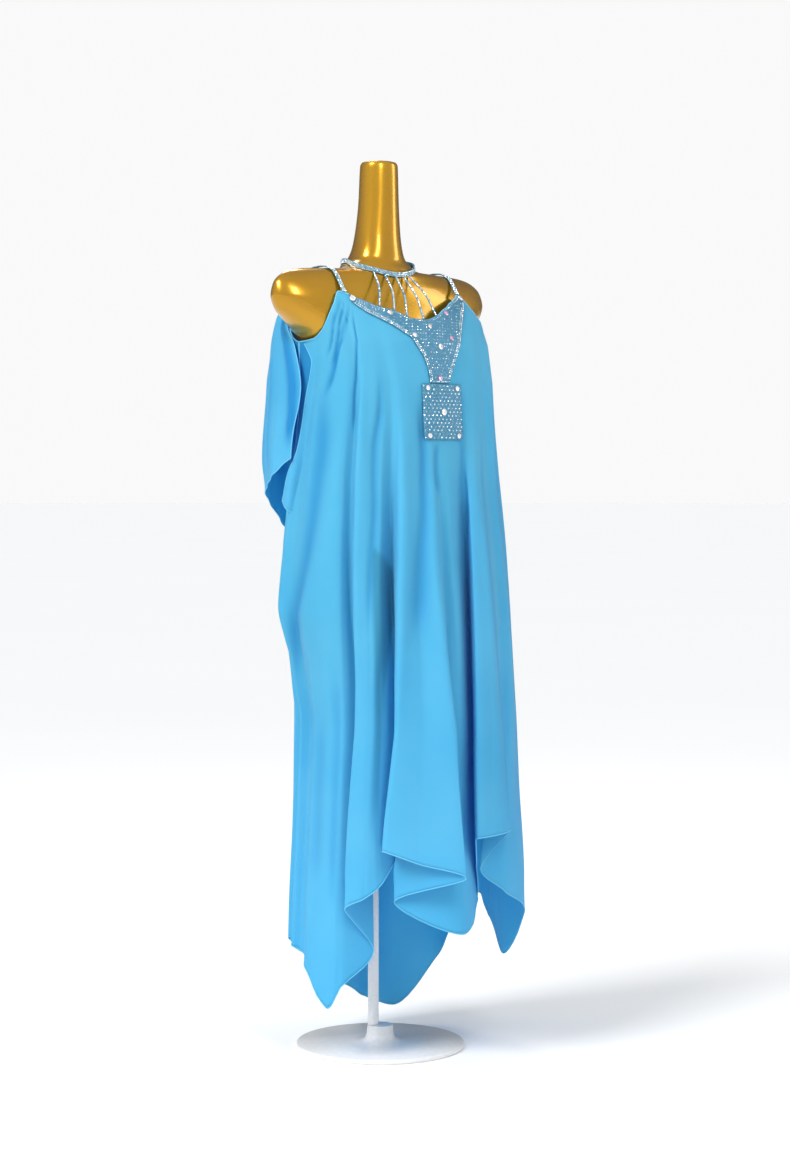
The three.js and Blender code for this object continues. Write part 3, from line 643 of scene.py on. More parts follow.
# the wing behind the right arm: top height, hem height, then x, y at each level
wingLevels = (1196, 1160, 1110, 1040, 930, 840)
wingFolds = {
    "nearEdge": (1196, 932, -128, 65, -143, 66, -170, 17, -174, -2, -182, 14, -182, 14),
    "nearFold": (1196, 905, -132, 68, -149, 76, -171, 58, -182, 44, -188, 51, -188, 53),
    "outerFold": (1196, 884, -132, 73, -149, 86, -160, 88, -163, 89, -168, 92, -166, 92),
    "farTurn": (1196, 870, -127, 76, -141, 94, -145, 103, -147, 108, -151, 116, -145, 116),
    "farTuck": (1196, 838, -114, 78, -117, 88, -119, 103, -118, 116, -117, 130, -107, 134),
    "backFold": (1190, 814, -90, 85, -84, 96, -80, 110, -78, 122, -76, 138, -70, 146),
    "backTuck": (1176, 826, -60, 88, -50, 96, -44, 106, -41, 117, -39, 131, -37, 138),
    "backEdge": (1162, 852, -34, 91, -22, 98, -14, 110, -10, 122, -8, 138, -8, 146),
}


def wingPlan(row):
    x = softCurve(sorted(zip(wingLevels, row[2::2])))
    y = softCurve(sorted(zip(wingLevels, row[3::2])))
    return lambda z: (x(z), y(z))


def foldedPiece(folds, plan, top, hem):  # the columns of the table that hold the top and the hem
    rows = list(folds.values())
    return hangingPiece([plan(row) for row in rows], [row[top] for row in rows], [row[hem] for row in rows])


front = foldedPiece(frontFolds, lambda row: foldPlan(*row[:8]), 1, 8)
back = foldedPiece(backFolds, lambda row: foldPlan(*row[:8]), 1, 8)
wing = foldedPiece(wingFolds, wingPlan, 0, 1)

drape = {
    "turnGather": 0.12,  # columns drawn in at the turns of the folds
    "wall": 0.7,
    # long soft wrinkles between the folds: depth, across and down their scales, seed
    "streaks": ((1, 1.9, 620, 0), (0.45, 4.3, 330, 7)), "streak": 1.5, "streakTop": 960, "streakOver": 380,
    # waver of the hem
    "flutter": 2.2, "flutterHigh": 150, "flutterScale": (2.6, 90), "flutterSeed": 21,
    # how far a crease takes to die away at its ends, and the most of its length in that
    "creaseFade": 120, "creaseEnds": 0.22,
    # painted shade behind the open edges: front depth, front and back foot, fade, lap, softness
    "gapDepth": 1.25, "gapFoot": 925, "backGapFoot": 900, "gapFade": 60, "gapLap": 0.35, "gapSoft": 0.4,
    "backGapEdge": 12.6, "backGapSoft": 0.7,
    # painted shade of the inside seen through one sheer layer: share, lowest and highest point, rise, near
    # edge, softness
    "thinShare": 0.62, "thinLow": 320, "thinHigh": 797, "thinRise": 220, "thinStart": 8.3, "thinSoft": 0.2,
}

# creases: depth (a trough is below zero), half width in fold numbers, how much painted shade lies there,
# with the deeper tone of doubled cloth, then height and fold number down it
frontCreases = [
    (-4.0, 0.15, 0.9, [(1189, 6.7), (1167, 5.8), (1143, 4.95), (1111, 4.2), (1070, 3.7)]),
    (-4.2, 0.16, 0.9, [(1181, 7.4), (1151, 5.95), (1122, 4.8), (1084, 4.0), (1024, 3.3)]),
    (-3.2, 0.13, 0.8, [(1191, 6.2), (1172, 5.3), (1150, 4.5), (1122, 3.85), (1090, 3.4)]),
    (2.2, 0.30, 0, [(1186, 7.1), (1160, 5.95), (1130, 5.0), (1090, 4.35)]),
    (-3.4, 0.17, 0.7, [(1178, 7.9), (1140, 6.9), (1090, 6.2), (1030, 5.8), (960, 5.9)]),
    (-5.5, 0.42, 0.7, [(1075, 3.5), (1024, 3.25), (945, 3.4), (865, 3.27), (785, 3.0), (703, 2.4),
                       (538, 1.1)]),
    (3.0, 0.45, 0, [(1060, 4.4), (945, 4.5), (800, 4.3), (650, 4.0), (480, 3.9)]),
    (-4.5, 0.40, 0.5, [(1090, 9.1), (1024, 9.0), (944, 8.4), (865, 8.5), (760, 8.3), (640, 8.1)]),
    (4.0, 0.45, 0, [(1087, 6.9), (1024, 7.0), (944, 7.1), (865, 7.2), (786, 7.0), (707, 6.9), (560, 7.0)]),
    (-3.0, 0.45, 0.35, [(830, 9.3), (740, 9.6), (690, 9.6), (632, 9.3), (549, 8.8), (384, 8.8), (300, 8.7)]),
    (-5.5, 0.40, 0.6, [(1046, 12.35), (985, 12.4), (945, 12.5), (865, 12.5), (785, 12.27), (707, 12.1),
                       (620, 11.9)]),
    (4.0, 0.45, 0, [(1010, 11.2), (945, 11.0), (865, 11.1), (785, 11.15), (708, 10.95), (600, 10.9),
                    (480, 11.0)]),
    (4.5, 0.40, 0, [(950, 13.2), (865, 13.3), (785, 13.35), (707, 13.2), (628, 12.95), (550, 12.8),
                    (400, 12.8)]),
    (-4.0, 0.28, 0.44, [(962, 13.9), (920, 13.8), (870, 13.9)]),
    (-4.0, 0.40, 0.35, [(1065, 16.1), (985, 16.2), (945, 16.2), (864, 16.2), (782, 16.0)]),
    (4.0, 0.50, 0, [(1040, 17.3), (945, 17.5), (864, 17.7), (783, 18.1), (703, 18.2), (544, 18.1)]),
    (-3.5, 0.35, 0.3, [(1000, 18.9), (900, 18.9), (780, 19.0), (640, 19.0), (480, 18.9), (300, 18.8)]),
    (-4.0, 0.45, 0.3, [(1120, 21.6), (1000, 21.6), (860, 21.4), (700, 21.6), (540, 21.7), (280, 21.6)]),
    (3.0, 0.45, 0, [(1090, 20.7), (960, 20.8), (860, 20.7)]),
    (-4.5, 0.45, 0.35, [(1050, 23.0), (900, 23.1), (700, 23.0), (450, 23.1), (220, 23.0)]),
    (-3.0, 0.30, 0.33, [(620, 4.6), (480, 4.5), (330, 4.45), (200, 4.4)]),
    (-2.8, 0.30, 0.31, [(520, 3.5), (380, 3.4), (240, 3.45)]),
]
backCreases = [
    (-5.0, 0.40, 0.3, [(1090, 0.9), (940, 0.9), (760, 0.8), (500, 0.85), (230, 0.9)]),
    (3.0, 0.40, 0, [(1060, 2.6), (900, 2.55), (700, 2.6), (460, 2.5)]),
    (-5.0, 0.38, 0.3, [(1120, 3.4), (960, 3.4), (780, 3.5), (520, 3.4), (240, 3.5)]),
    (-4.0, 0.36, 0.3, [(1150, 4.6), (1000, 4.6), (840, 4.5), (600, 4.6), (300, 4.5)]),
    (-5.5, 0.40, 0.4, [(1140, 6.5), (960, 6.5), (760, 6.6), (480, 6.5), (200, 6.4)]),
    (3.5, 0.40, 0, [(1100, 7.4), (900, 7.4), (700, 7.5), (420, 7.4)]),
    (-4.5, 0.36, 0.3, [(1130, 8.6), (930, 8.5), (700, 8.6), (380, 8.5), (160, 8.6)]),
    (-5.0, 0.40, 0.3, [(1150, 10.4), (1000, 10.4), (800, 10.5), (560, 10.4), (220, 10.5)]),
    (-4.0, 0.36, 0.3, [(1080, 12.6), (900, 12.6), (700, 12.5), (460, 12.6), (210, 12.5)]),
]
wingCreases = [
    (-7.0, 0.20, 1.3, [(1180, 0.6), (1150, 0.5), (1110, 0.34), (1040, 0.3), (995, 0.2), (940, 0.15)]),
    (-4.0, 0.22, 0.44, [(1120, 1.5), (1000, 1.5), (900, 1.45)]),
    (-3.5, 0.25, 0.39, [(1100, 2.5), (1000, 2.55), (880, 2.5)]),
    (-4.0, 0.28, 0.44, [(1150, 4.4), (1000, 4.5), (870, 4.5)]),
    (-3.5, 0.28, 0.39, [(1130, 6.4), (1000, 6.4), (880, 6.5)]),
]


def creaseField(creases):  # how far the creases move the cloth out and how much painted shade they lay at a place
    ready = [(depth, reach, shade, path[-1][0], path[0][0], softCurve(sorted(path)))
             for depth, reach, shade, path in creases]

    def read(u, z):
        move = deep = 0.0
        for depth, reach, shade, low, high, line in ready:
            if low < z < high:
                off = (u - line(z)) / reach
                if abs(off) < 3:
                    ends = min(drape["creaseFade"], (high - low) * drape["creaseEnds"])
                    fade = min(1, (z - low) / ends) * min(1, (high - z) / ends)
                    fall = math.exp(-off * off) * fade * fade * (3 - 2 * fade)
                    move += depth * fall
                    deep += shade * fall
        return move, deep

    return read


# the open right side: height and the fold number where the loose layer's edge lies
openEdge = softCurve([(830, 0.05), (863, 0.3), (904, 0.75), (946, 1.25), (979, 1.4), (1025, 1.46),
                      (1053, 1.6), (1084, 1.82), (1103, 1.38), (1119, 0.86)])


def frontGap(u, z):  # painted shade on the underlayer behind the loose edge
    high = clamp((z - drape["gapFoot"]) / drape["gapFade"])
    return drape["gapDepth"] * high * clamp((openEdge(z) + drape["gapLap"] - u) / drape["gapSoft"])


# painted shade on the back panel's last folds, high up
def backGap(u, z):
    high = clamp((z - drape["backGapFoot"]) / drape["gapFade"])
    return high * clamp((u - drape["backGapEdge"]) / drape["backGapSoft"])


def noGap(u, z):
    return 0.0


# the far fold number of the painted inside shade, by height
thinEdge = softCurve([(300, 9.0), (466, 9.1), (549, 9.2), (632, 9.75), (698, 10.35), (747, 10.35), (772, 9.6),
                      (797, 8.3)])


def thinPatch(u, z):  # painted shade: a pointed place beside a fold where the shaded inside shows through one sheer layer
    if not drape["thinLow"] < z < drape["thinHigh"]:
        return 0.0
    within = clamp((u - drape["thinStart"]) / drape["thinSoft"])
    within *= clamp((thinEdge(z) - u) / drape["thinSoft"])
    return drape["thinShare"] * within * min(1, (z - drape["thinLow"]) / drape["thinRise"])


def softness(u, z, hem, seed):  # small uneven wrinkles, none near the trim
    down = clamp((drape["streakTop"] - z) / drape["streakOver"])
    streak = sum(deep * noise.noise(Vector((u * across, z / along, seed + more)))
                 for deep, across, along, more in drape["streaks"])
    near = max(0, 1 - (z - hem) / drape["flutterHigh"])
    across, along = drape["flutterScale"]
    waver = noise.noise(Vector((u * across, z / along, seed + drape["flutterSeed"])))
    return drape["streak"] * down * streak + drape["flutter"] * near * near * waver


# columns to a fold, rows, the pattern's size in metres, seed
hanging = {"frontPanel": (11, 140, (1.55, 1.06), 3), "backPanel": (13, 120, (1.05, 1.10), 40),
           "backWing": (16, 70, (0.42, 0.33), 80)}


def makeHanging(name, piece, node, creases, gap=noGap):
    steps, rows, size, seed = hanging[name]
    columns = round(piece["last"] * steps)

    def fold(s):
        even = piece["last"] * s
        return even - drape["turnGather"] * math.sin(math.tau * even)

    def level(u, t):
        return piece["hem"](u) * (1 - t) + piece["top"](u) * t

    def place(s, t):
        return toMetres(*piece["at"](fold(s), level(fold(s), t)))

    mesh, spots = clothGrid(columns, rows, place, size)
    crease = creaseField(creases)
    shade = mesh.verts.layers.float["fold"]
    thin = mesh.verts.layers.float["thin"]
    moves = {}
    for vert, (s, t) in spots.items():
        u = fold(s)
        z = level(u, t)
        move, deep = crease(u, z)
        # painted shade from the creases and behind the open edges goes into the fold attribute
        vert[shade] = min(1, deep + gap(u, z))
        # painted shade of the inside seen through, on the front panel only
        if piece is front:
            vert[thin] = thinPatch(u, z)
        moves[vert] = vert.normal * (softness(u, z, piece["hem"](u), seed) + move) * mm
    for vert, move in moves.items():
        vert.co += move
    edges = {key: gridEdge(spots, axis, end)
             for key, axis, end in (("top", 1, 1), ("hem", 1, 0), ("start", 0, 0), ("end", 0, 1))}
    return walled(name, mesh, chiffon, drape["wall"], node, "chiffon"), edges


frontCloth, frontEdges = makeHanging("frontPanel", front, "front_panel", frontCreases, frontGap)
backCloth, backEdges = makeHanging("backPanel", back, "back_panel", backCreases, backGap)
wingCloth, wingEdges = makeHanging("backWing", wing, "wing", wingCreases)
print("panels hung")


def lifted(u, z, out):  # a point held off the front panel
    return front["at"](u, z) + outward(front, u, z) * out


overlap = {
    "inner": [(0, 2.35), (0.6, 2.2), (1, 1.45)],  # how far down, fold number of the edge sewn under
    "hems": [(0, 864), (0.4, 860), (1.45, 846), (2.4, 846)],
    "edgeTop": 1115, "edgeLow": 855, "below": 4, "out": 1.9, "flare": 10, "tuckIn": 0.4,
}
frontCrease = creaseField(frontCreases)


def frontFace(u, z, out):  # a point held off the front panel with its creases
    soft = softness(u, z, front["hem"](u), hanging["frontPanel"][3])
    return lifted(u, z, out + soft + frontCrease(u, z)[0])


def makeOverlap():
    hems = softCurve(overlap["hems"])
    inner = softCurve(overlap["inner"])

    def place(s, t):
        f = 1 - t
        u = openEdge(overlap["edgeTop"] * t + overlap["edgeLow"] * f) * (1 - s) + inner(f) * s
        z = (front["top"](u) - overlap["below"]) * t + hems(u) * f
        out = overlap["out"] + overlap["flare"] * f * f * (1 - s)
        out = out * (1 - s ** 5) - overlap["tuckIn"] * s ** 5
        return toMetres(*frontFace(u, z, out))

    mesh, spots = clothGrid(40, 50, place, (0.08, 0.26))
    edge = gridEdge(spots, 0, 0) + gridEdge(spots, 1, 0)[1:]
    return walled("sideOverlap", mesh, chiffon, drape["wall"], "front_overlap", "chiffon"), edge


overlapCloth, overlapEdge = makeOverlap()


def seamPoint(t):  # midway between the front's last edge and the back's first
    last = front["last"]
    z = front["top"](last) * (1 - t) + front["hem"](last) * t
    return toMetres(*(front["at"](last, z) + back["at"](0, z)) / 2)


# rolled hems, bound edges and the seam: path, radius, material
hemLines = {
    "frontHem": (frontEdges["start"] + frontEdges["hem"][1:], 1.0, rolled),
    "frontBinding": (frontEdges["top"], 1.2, rolled),
    "backHem": (backEdges["hem"] + backEdges["end"][::-1][1:], 1.0, rolled),
    "backBinding": (backEdges["top"], 1.2, rolled),
    "wingHem": (wingEdges["start"] + wingEdges["hem"][1:] + wingEdges["end"][::-1][1:], 1.0, rolled),
    "wingBinding": (wingEdges["top"], 1.0, rolled),
    "overlapHem": (overlapEdge, 0.9, rolled),
    "leftSeam": ([seamPoint(row / 100) for row in range(101)], 1.1, chiffon),
}
for name, line in hemLines.items():
    settle(tube(name, *line), slotName="chiffon")
print("hems rolled")

# crystal trim
trim = {
    "wall": 1.3,
    "yokeOut": 2.05,
    "tabOut": 2.45,
    # fold number along the neckline, then fold number and height of the lower edge below that place
    "yokeEdge": [
        (7.9, 7.9, 1181), (9.1, 9.13, 1170.9), (9.8, 9.79, 1162.9), (10.5, 10.45, 1157),
        (11.05, 11.04, 1150.7), (11.5, 11.44, 1144.5), (11.9, 11.79, 1136.7), (12.25, 12.07, 1130.4),
        (12.6, 12.36, 1124.2), (12.8, 12.51, 1115.2), (13.0, 12.73, 1105.7), (13.2, 12.96, 1094.7),
        (13.4, 13.11, 1081.9), (13.55, 13.2, 1070.7), (13.7, 13.22, 1060), (13.8, 13.25, 1053),
        (14.0, 13.8, 1053), (14.2, 14.35, 1053), (14.4, 14.91, 1053), (14.6, 15.11, 1062.2),
        (14.8, 15.34, 1073.7), (15.05, 15.56, 1083.7), (15.4, 15.8, 1095.3), (15.8, 16.09, 1108.5),
        (16.4, 16.49, 1121.5), (17.4, 17.33, 1140.2), (18.4, 18.33, 1157.5), (19.8, 19.8, 1175.3),
        (20.9, 20.9, 1190)],
    "tabX": (-38, 47), "tabZ": (1051, 962), "tabCorner": 6.5,
    "tabRows": 15, "tabColumns": 10, "tabShift": (0.28, 0.72),
}
yokeUp, yokeLow, yokeLowZ = (softCurve(list(enumerate(knots))) for knots in zip(*trim["yokeEdge"]))
yokeSpan = len(trim["yokeEdge"]) - 1


def yokePoint(k, down, out):  # k along the yoke; down is 0 at the neckline and 1 at the lower edge
    up = yokeUp(k)
    u = up * (1 - down) + yokeLow(k) * down
    return lifted(u, (front["top"](up) - 0.5) * (1 - down) + yokeLowZ(k) * down, out)


def foldAtX(x, z):  # the front fold number that stands at this x
    return sum(halve(7.0, 21.0, lambda u: front["at"](u, z).x < x)) / 2


def tabPoint(a, b, out):
    (right, left), (top, low) = trim["tabX"], trim["tabZ"]
    x = right + (left - right) * a
    z = top + (low - top) * b
    return lifted(foldAtX(x, z), z, out)


def tabRounded(a, b):  # the lower corners drawn onto an arc
    wide, tall = trim["tabX"][1] - trim["tabX"][0], trim["tabZ"][0] - trim["tabZ"][1]
    corner = trim["tabCorner"]
    across = corner - min(a, 1 - a) * wide
    down = corner - (1 - b) * tall
    if across <= 0 or down <= 0:
        return a, b
    draw = max(across, down) / math.hypot(across, down)
    edge = (corner - across * draw) / wide
    return (edge if a < 0.5 else 1 - edge), 1 - (corner - down * draw) / tall


def trimCloth(name, columns, rows, place, size, node):
    mesh, _ = clothGrid(columns, rows, lambda s, t: toMetres(*place(s, 1 - t)), size)
    return walled(name, mesh, glitter, trim["wall"], node, "crystal_trim")


yokeCloth = trimCloth("yokeCloth", yokeSpan * 6, 20, lambda s, f: yokePoint(yokeSpan * s, f, trim["yokeOut"]),
                      (0.33, 0.15), "yoke")
tabCloth = trimCloth("breastTab", 34, 34, lambda s, f: tabPoint(*tabRounded(s, f), trim["tabOut"]),
                     (0.084, 0.089), "tab")
print("yoke and tab ready")


def facing(point, normal):  # a frame with its z along the normal
    return Matrix.Translation(point) @ normal.to_track_quat("Z", "Y").to_matrix().to_4x4()


# shares of a crystal's radius, but for its tilt and sides
crystalShape = {"sides": 6, "tilt": 0.12, "seat": 0.22, "top": 0.5, "deep": 0.62}


def addCrystals(name, spots):  # spots: point in metres, normal, radius in mm
    mesh = bmesh.new()
    glint = mesh.verts.layers.float.new("glint")
    for point, normal, size in spots:
        lean = crystalShape["tilt"]
        tilt = normal + Vector([rand.uniform(-lean, lean) for _ in range(3)])
        turned = facing(point + normal * size * crystalShape["seat"] * mm, tilt.normalized())
        turned = turned @ Matrix.Rotation(rand.uniform(0, math.tau), 4, "Z")
        cone = bmesh.ops.create_cone(
            mesh, cap_ends=True, segments=crystalShape["sides"], radius1=size * mm,
            radius2=size * crystalShape["top"] * mm, depth=size * crystalShape["deep"] * mm, matrix=turned)
        # a random glint value for the whole crystal picks its painted glint tone
        shade = rand.random()
        for vert in cone["verts"]:
            vert[glint] = shade
    settle(finishPiece(name, mesh, crystal, False), slotName="crystal_trim")


bigStones = {
    # fold number, height, radius, sides, material
    "stone_joint_right": (8.41, 1185.5, 5.2, 12, bigCrystal),
    "stone_joint_left": (20.6, 1195.5, 5.2, 12, bigCrystal),
    "stone_neck_right": (11.67, 1163, 4.6, 10, bigCrystal),
    "stone_neck_mid": (12.62, 1128, 4.6, 10, bigCrystal),
    "stone_neck_left": (15.86, 1166.5, 4.8, 10, pinkCrystal),
    "stone_centre": (14.03, 1142.9, 5, 4, bigCrystal),
    "stone_star": (14.44, 1111.6, 5, 12, bigCrystal), "stone_left": (15.49, 1124.7, 4.4, 10, pinkCrystal),
    "stone_stem": (14.19, 1060, 4.4, 10, pinkCrystal),
}
tabStones = {
    "stone_tab_top_right": (0.12, 0.07, 4.2), "stone_tab_top_left": (0.88, 0.07, 4.2),
    "stone_tab_low_right": (0.12, 0.93, 4.2), "stone_tab_low_left": (0.88, 0.93, 4.2),
    "stone_tab_centre": (0.5, 0.5, 5.6),
}


# girdle in mm, then how far in and up each ring of the crown is, as shares of the radius
stoneShape = {"girdle": 0.9, "crown": ((0.22, 0.2), (0.2, 0.12)), "yokeSeat": 0.8, "tabSeat": 0.6}


def cutStone(name, point, normal, size, sides, material):  # girdle, crown facets and a flat table
    mesh = bmesh.new()
    glint = mesh.verts.layers.float.new("glint")
    turned = facing(toMetres(*point), normal)
    girdle = stoneShape["girdle"] * mm
    bmesh.ops.create_cone(mesh, cap_ends=True, segments=sides, radius1=size * mm, radius2=size * mm,
                          depth=girdle, matrix=turned @ Matrix.Translation((0, 0, girdle / 2)))
    top = [f for f in mesh.faces if len(f.verts) == sides and f.normal.dot(normal) > 0.9]
    for inward, up in stoneShape["crown"]:
        bmesh.ops.inset_region(mesh, faces=top, thickness=size * inward * mm, depth=size * up * mm)
    crown = [f for f in mesh.faces if len(f.verts) == 4 and abs(f.normal.dot(normal)) > 0.1]
    bmesh.ops.poke(mesh, faces=crown)
    # each corner gets its own random glint value, so the facets carry painted glints
    for vert in mesh.verts:
        vert[glint] = rand.random()
    settle(finishPiece(name + "Cut", mesh, material, False), name, slotName="stone")
    stoneSpots.append((toMetres(*point), size))


stoneSpots = []
yokeFace, tabFace = (trim[key] + trim["wall"] / 2 for key in ("yokeOut", "tabOut"))
for name, (u, z, size, sides, material) in bigStones.items():
    point = lifted(u, z, yokeFace + stoneShape["yokeSeat"])
    cutStone(name, point, outward(front, u, z), size, sides, material)
for name, (a, b, size) in tabStones.items():
    point = tabPoint(a, b, tabFace + stoneShape["tabSeat"])
    cutStone(name, point, (tabPoint(a, b, 20) - point).normalized(), size, 12, bigCrystal)
print("stones set")


def clearOfStones(point, size):
    return all((point - spot).length > (size + wide + 0.5) * mm for spot, wide in stoneSpots)


crystalRows = {
    # edge, from and to along the yoke, distance inside the edge, spacing, radius
    "neckline": ("up", 0.3, 27.6, 3.6, 4.2, 1.1),
    "necklineInner": ("up", 0.5, 5.5, 7.4, 4.6, 1.15),
    "lowRight": ("low", 0.2, 15.0, 1.9, 3.4, 1.35),
    "lowRightInner": ("low", 0.7, 14.7, 5.3, 3.6, 1.3),
    "stemFoot": ("low", 15.3, 17.7, 1.9, 3.6, 1.3),
    "lowLeft": ("low", 18.0, 27.7, 1.9, 3.4, 1.35),
    "lowLeftInner": ("low", 18.4, 27.0, 5.4, 3.6, 1.35),
}
crystalFill = {"across": 6.0, "down": 5.0, "skip": 0.3, "from": 1057.0, "to": 1200, "clear": 7.5}


def evenly(line, pitch):  # points at even spacing on a path, with the way it runs
    found = []
    gone, due = 0.0, pitch / 2
    for a, b in zip(line, line[1:]):
        step = (b - a).length
        while due <= gone + step:
            found.append((a.lerp(b, (due - gone) / step), (b - a).normalized()))
            due += pitch
        gone += step
    return found


def yokeSpot(x, z):  # a place on the yoke's face and the way it faces
    u = foldAtX(x, z)
    return toMetres(*lifted(u, z, yokeFace)), outward(front, u, z)


def insideOutline(x, z, outline):
    inside = False
    for a, b in zip(outline, outline[1:] + outline[:1]):
        if (a.z > z) != (b.z > z) and x < a.x + (b.x - a.x) * (z - a.z) / (b.z - a.z):
            inside = not inside
    return inside


def yokeCrystals():
    spots = []
    lines = {key: [yokePoint(k / 4, down, trim["yokeOut"]) for k in range(yokeSpan * 4 + 1)]
             for key, down in (("up", 0), ("low", 1))}
    outline = lines["up"] + lines["low"][::-1]

    def put(x, z, size):
        point, normal = yokeSpot(x, z)
        room = all((point - other).length > (size + wide + 0.25) * mm for other, _, wide in spots)
        if room and clearOfStones(point, size) and insideOutline(x, z, outline):
            spots.append((point, normal, size))

    for edge, start, end, inset, pitch, size in crystalRows.values():
        line = lines[edge][round(start * 4):round(end * 4) + 1]
        for point, along in evenly(line, pitch):
            _, normal = yokeSpot(point.x, point.z)
            inward = along.cross(normal) if edge == "up" else normal.cross(along)
            moved = point + inward * inset
            put(moved.x, moved.z, size * rand.uniform(0.94, 1.06))
    turn = 0
    z = crystalFill["from"]
    while z < crystalFill["to"]:
        turn += 1
        row = [front["at"](7.9 + 13 * k / 260, z) for k in range(261)]
        for point, _ in evenly(row, crystalFill["across"]):
            x = point.x + (crystalFill["across"] / 2 if turn % 2 else 0)
            apart = min(math.hypot(x - spot.x, z - spot.z) for spot in outline)
            if apart > crystalFill["clear"] and rand.random() > crystalFill["skip"]:
                put(x + rand.uniform(-0.6, 0.6), z + rand.uniform(-0.5, 0.5), rand.uniform(0.8, 1.1))
        z += crystalFill["down"]
    return spots


def tabCrystals():
    spots = []
    for row in range(trim["tabRows"]):
        for k in range(trim["tabColumns"]):
            a = (k + trim["tabShift"][row % 2]) / trim["tabColumns"]
            b = (row + 0.5) / trim["tabRows"]
            point = tabPoint(a, b, tabFace)
            normal = (tabPoint(a, b, 20) - point).normalized()
            size = rand.uniform(1.35, 1.6)
            if clearOfStones(toMetres(*point), size):
                spots.append((toMetres(*point), normal, size))
    return spots


addCrystals("yokeCrystals", yokeCrystals())
addCrystals("tabCrystals", tabCrystals())
print("crystals scattered")

# straps, choker and strands
neckwear = {
    "strapWidth": 8, "strapWall": 1.6, "strapRest": 2.7, "strapX": 128, "strapLean": 0.05,
    "strapSpots": range(-33, 45, 11),
    # node, side, front fold and back fold at its ends
    "straps": {"strapRight": ("strap_right", -1, 7.0, 11), "strapLeft": ("strap_left", 1, 20.8, 5)},
    "chokerWidth": 8, "chokerStones": 126, "chokerLeast": 46, "chokerRest": 1.8, "chokerTop": 1256,
    "chokerDip": 25, "chokerTurn": 8, "dipSpread": 0.85, "dipShape": 1.4,  # lowest a little off the middle
    "strandWidth": 3.6, "strandDrop": 0.7, "strandOut": 0.9, "strandRise": 1.2, "strandSag": (0, -6, 2.5),
    # choker angle, neckline fold
    "strands": {"strand_1": (-51, 11.2), "strand_2": (-34, 12.04), "strand_3": (-12, 12.7),
                "strand_4": (8, 13.8), "strand_5": (22, 14.9)},
    "bandSteps": 60, "bandStone": (0.93, 1.05),
}


def spacedPath(points, count):  # evenly spaced points on a curve through the given ones
    dense = []
    full = [points[0] * 2 - points[1]] + points + [points[-1] * 2 - points[-2]]
    for p0, p1, p2, p3 in zip(full, full[1:], full[2:], full[3:]):
        for k in range(40):
            t = k / 40
            dense.append(0.5 * (2 * p1 + (p2 - p0) * t + (2 * p0 - 5 * p1 + 4 * p2 - p3) * t ** 2
                                + (3 * p1 - p0 - 3 * p2 + p3) * t ** 3))
    dense.append(points[-1])
    lengths = [0]
    for a, b in zip(dense, dense[1:]):
        lengths.append(lengths[-1] + (b - a).length)
    path = []
    i = 0
    for k in range(count + 1):
        want = lengths[-1] * k / count
        while i < len(dense) - 2 and lengths[i + 1] < want:
            i += 1
        f = (want - lengths[i]) / max(1e-9, lengths[i + 1] - lengths[i])
        path.append(dense[i].lerp(dense[i + 1], min(1, f)))
    return path, lengths[-1]


def band(name, points, width, thick, rows, pitch, size, node, faceOn=1):  # a flat band with crystals
    steps = neckwear["bandSteps"]
    path, length = spacedPath(points, steps)
    outs, acrosses = [], []
    for i in range(steps + 1):
        along = (path[min(i + 1, steps)] - path[max(i - 1, 0)]).normalized()
        out = Vector((faceOn, 0, 0)).cross(along).normalized()
        outs.append(out)
        acrosses.append(out.cross(along).normalized())

    def at(f, side, out):
        i = min(int(f * steps), steps - 1)
        t = f * steps - i
        p = path[i].lerp(path[i + 1], t)
        return p + acrosses[i].lerp(acrosses[i + 1], t) * side + outs[i].lerp(outs[i + 1], t) * out

    mesh, _ = clothGrid(steps, 4, lambda s, t: toMetres(*at(s, (0.5 - t) * width, 0)),
                        (length * mm, width * mm))
    walled(name, mesh, glitter, thick, node, "crystal_trim")
    spots = []
    count = int(length / pitch)
    for row in range(rows):
        side = (row - (rows - 1) / 2) * (width / rows)
        for k in range(count):
            f = (k + 0.5 + (0.25 if row % 2 else 0)) / (count + 0.5)
            i = min(int(f * steps), steps - 1)
            grown = size * rand.uniform(*neckwear["bandStone"])
            spots.append((toMetres(*at(f, side, thick / 2)), outs[i], grown))
    addCrystals(name + "Crystals", spots)


def edgePoint(piece, u, out):  # just over the cloth's top edge
    z = piece["top"](u)
    point = piece["at"](u, z) + outward(piece, u, z - 3) * out
    return Vector((point.x, point.y, z + 1.5))


denseRings = [formRing(k / 8) for k in range(8 * (len(form["rings"]) - 1) + 1)]
formWide, formFront, formBack, formSquare = (lineCurve(column(denseRings, k)) for k in range(1, 5))


def formTop(x, y):  # height of the form's top at a place in plan
    def inside(z):
        n = formSquare(z)
        deep = formFront(z) if y < 0 else formBack(z)
        return (abs(x) / formWide(z)) ** n + (abs(y) / deep) ** n < 1

    return halve(1150.0, 1246.0, inside)[0]


for name, (node, side, frontFold, backFold) in neckwear["straps"].items():
    points = [edgePoint(front, frontFold, 0.8)]
    for y in neckwear["strapSpots"]:
        x = side * (neckwear["strapX"] - neckwear["strapLean"] * max(0, y))
        slope = (formTop(x, y + 1) - formTop(x, y - 1)) / 2
        rest = neckwear["strapRest"] / math.hypot(1, slope)
        points.append(Vector((x, y - slope * rest, formTop(x, y) + rest)))
    points += [edgePoint(back, backFold, 0)]
    band(name, points, neckwear["strapWidth"], neckwear["strapWall"], 3, 2.75, 1.3, node)


def chokerHeight(angle):
    dip = max(0, math.cos(math.radians(angle + neckwear["chokerTurn"]) * neckwear["dipSpread"]))
    return neckwear["chokerTop"] - neckwear["chokerDip"] * dip ** neckwear["dipShape"]


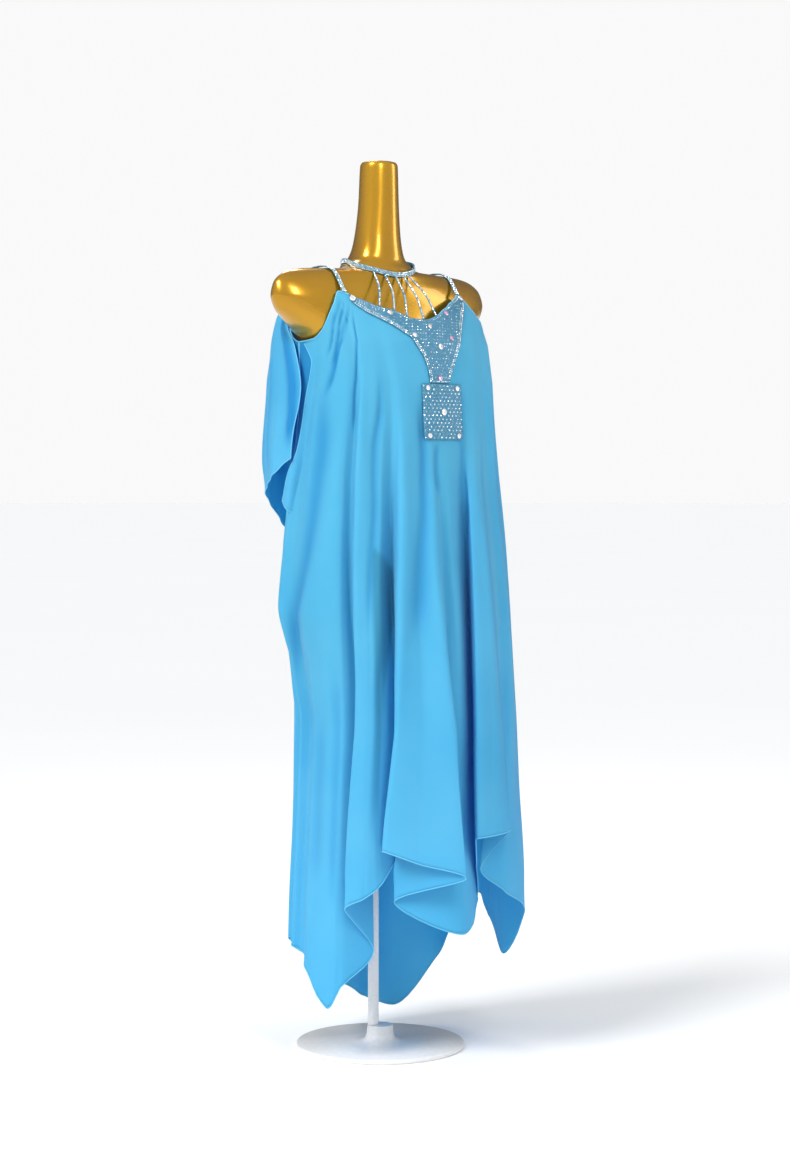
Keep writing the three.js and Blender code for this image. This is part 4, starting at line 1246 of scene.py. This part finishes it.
def formRadius(angle, z, reach):  # the widest of the form near a height
    sn, cs = abs(math.sin(math.radians(angle))), math.cos(math.radians(angle))
    far = 0
    for h in (z - reach, z, z + reach):
        n = formSquare(h)
        deep = formFront(h) if cs > 0 else formBack(h)
        far = max(far, ((sn / formWide(h)) ** n + (abs(cs) / deep) ** n) ** (-1 / n))
    return far


def chokerPoint(angle, z, out=0):
    wide = formRadius(angle, chokerHeight(angle), neckwear["chokerWidth"] / 2) + neckwear["chokerRest"]
    r = max(neckwear["chokerLeast"], wide) + out
    return Vector((r * math.sin(math.radians(angle)), -r * math.cos(math.radians(angle)), z))


def makeChoker():
    width = neckwear["chokerWidth"]

    def place(s, t):
        angle = -180 + 360 * s
        return toMetres(*chokerPoint(angle, chokerHeight(angle) + width * (t - 0.5)))

    mesh, _ = clothGrid(120, 3, place, (0.35, width * mm))
    bmesh.ops.remove_doubles(mesh, verts=mesh.verts, dist=0.00002)
    walled("chokerBand", mesh, glitter, trim["wall"], "choker", "crystal_trim")
    spots = []
    count = neckwear["chokerStones"]
    for row in range(3):
        for k in range(count):
            angle = -180 + 360 * (k + (0.5 if row % 2 else 0)) / count
            point = chokerPoint(angle, chokerHeight(angle) + (row - 1) * width / 3, trim["wall"] / 2)
            turn = math.radians(angle)
            normal = Vector((math.sin(turn), -math.cos(turn), 0.05)).normalized()
            spots.append((toMetres(*point), normal, 1.3 * rand.uniform(*neckwear["bandStone"])))
    addCrystals("chokerCrystals", spots)


makeChoker()
for name, (angle, u) in neckwear["strands"].items():
    top = chokerPoint(angle, chokerHeight(angle) - neckwear["chokerWidth"] / 2 - neckwear["strandDrop"])
    top += Vector((top.x, top.y, 0)).normalized() * neckwear["strandOut"]
    low = lifted(u, front["top"](u), trim["yokeOut"])
    low.z = front["top"](u) + neckwear["strandRise"]
    middle = top.lerp(low, 0.5) + Vector(neckwear["strandSag"])
    band(name.replace("_", ""), [top, middle, low], neckwear["strandWidth"], trim["wall"], 1, 3.0, 1.5, name,
         -1)
print("straps, choker and strands ready")

print("all pieces made")
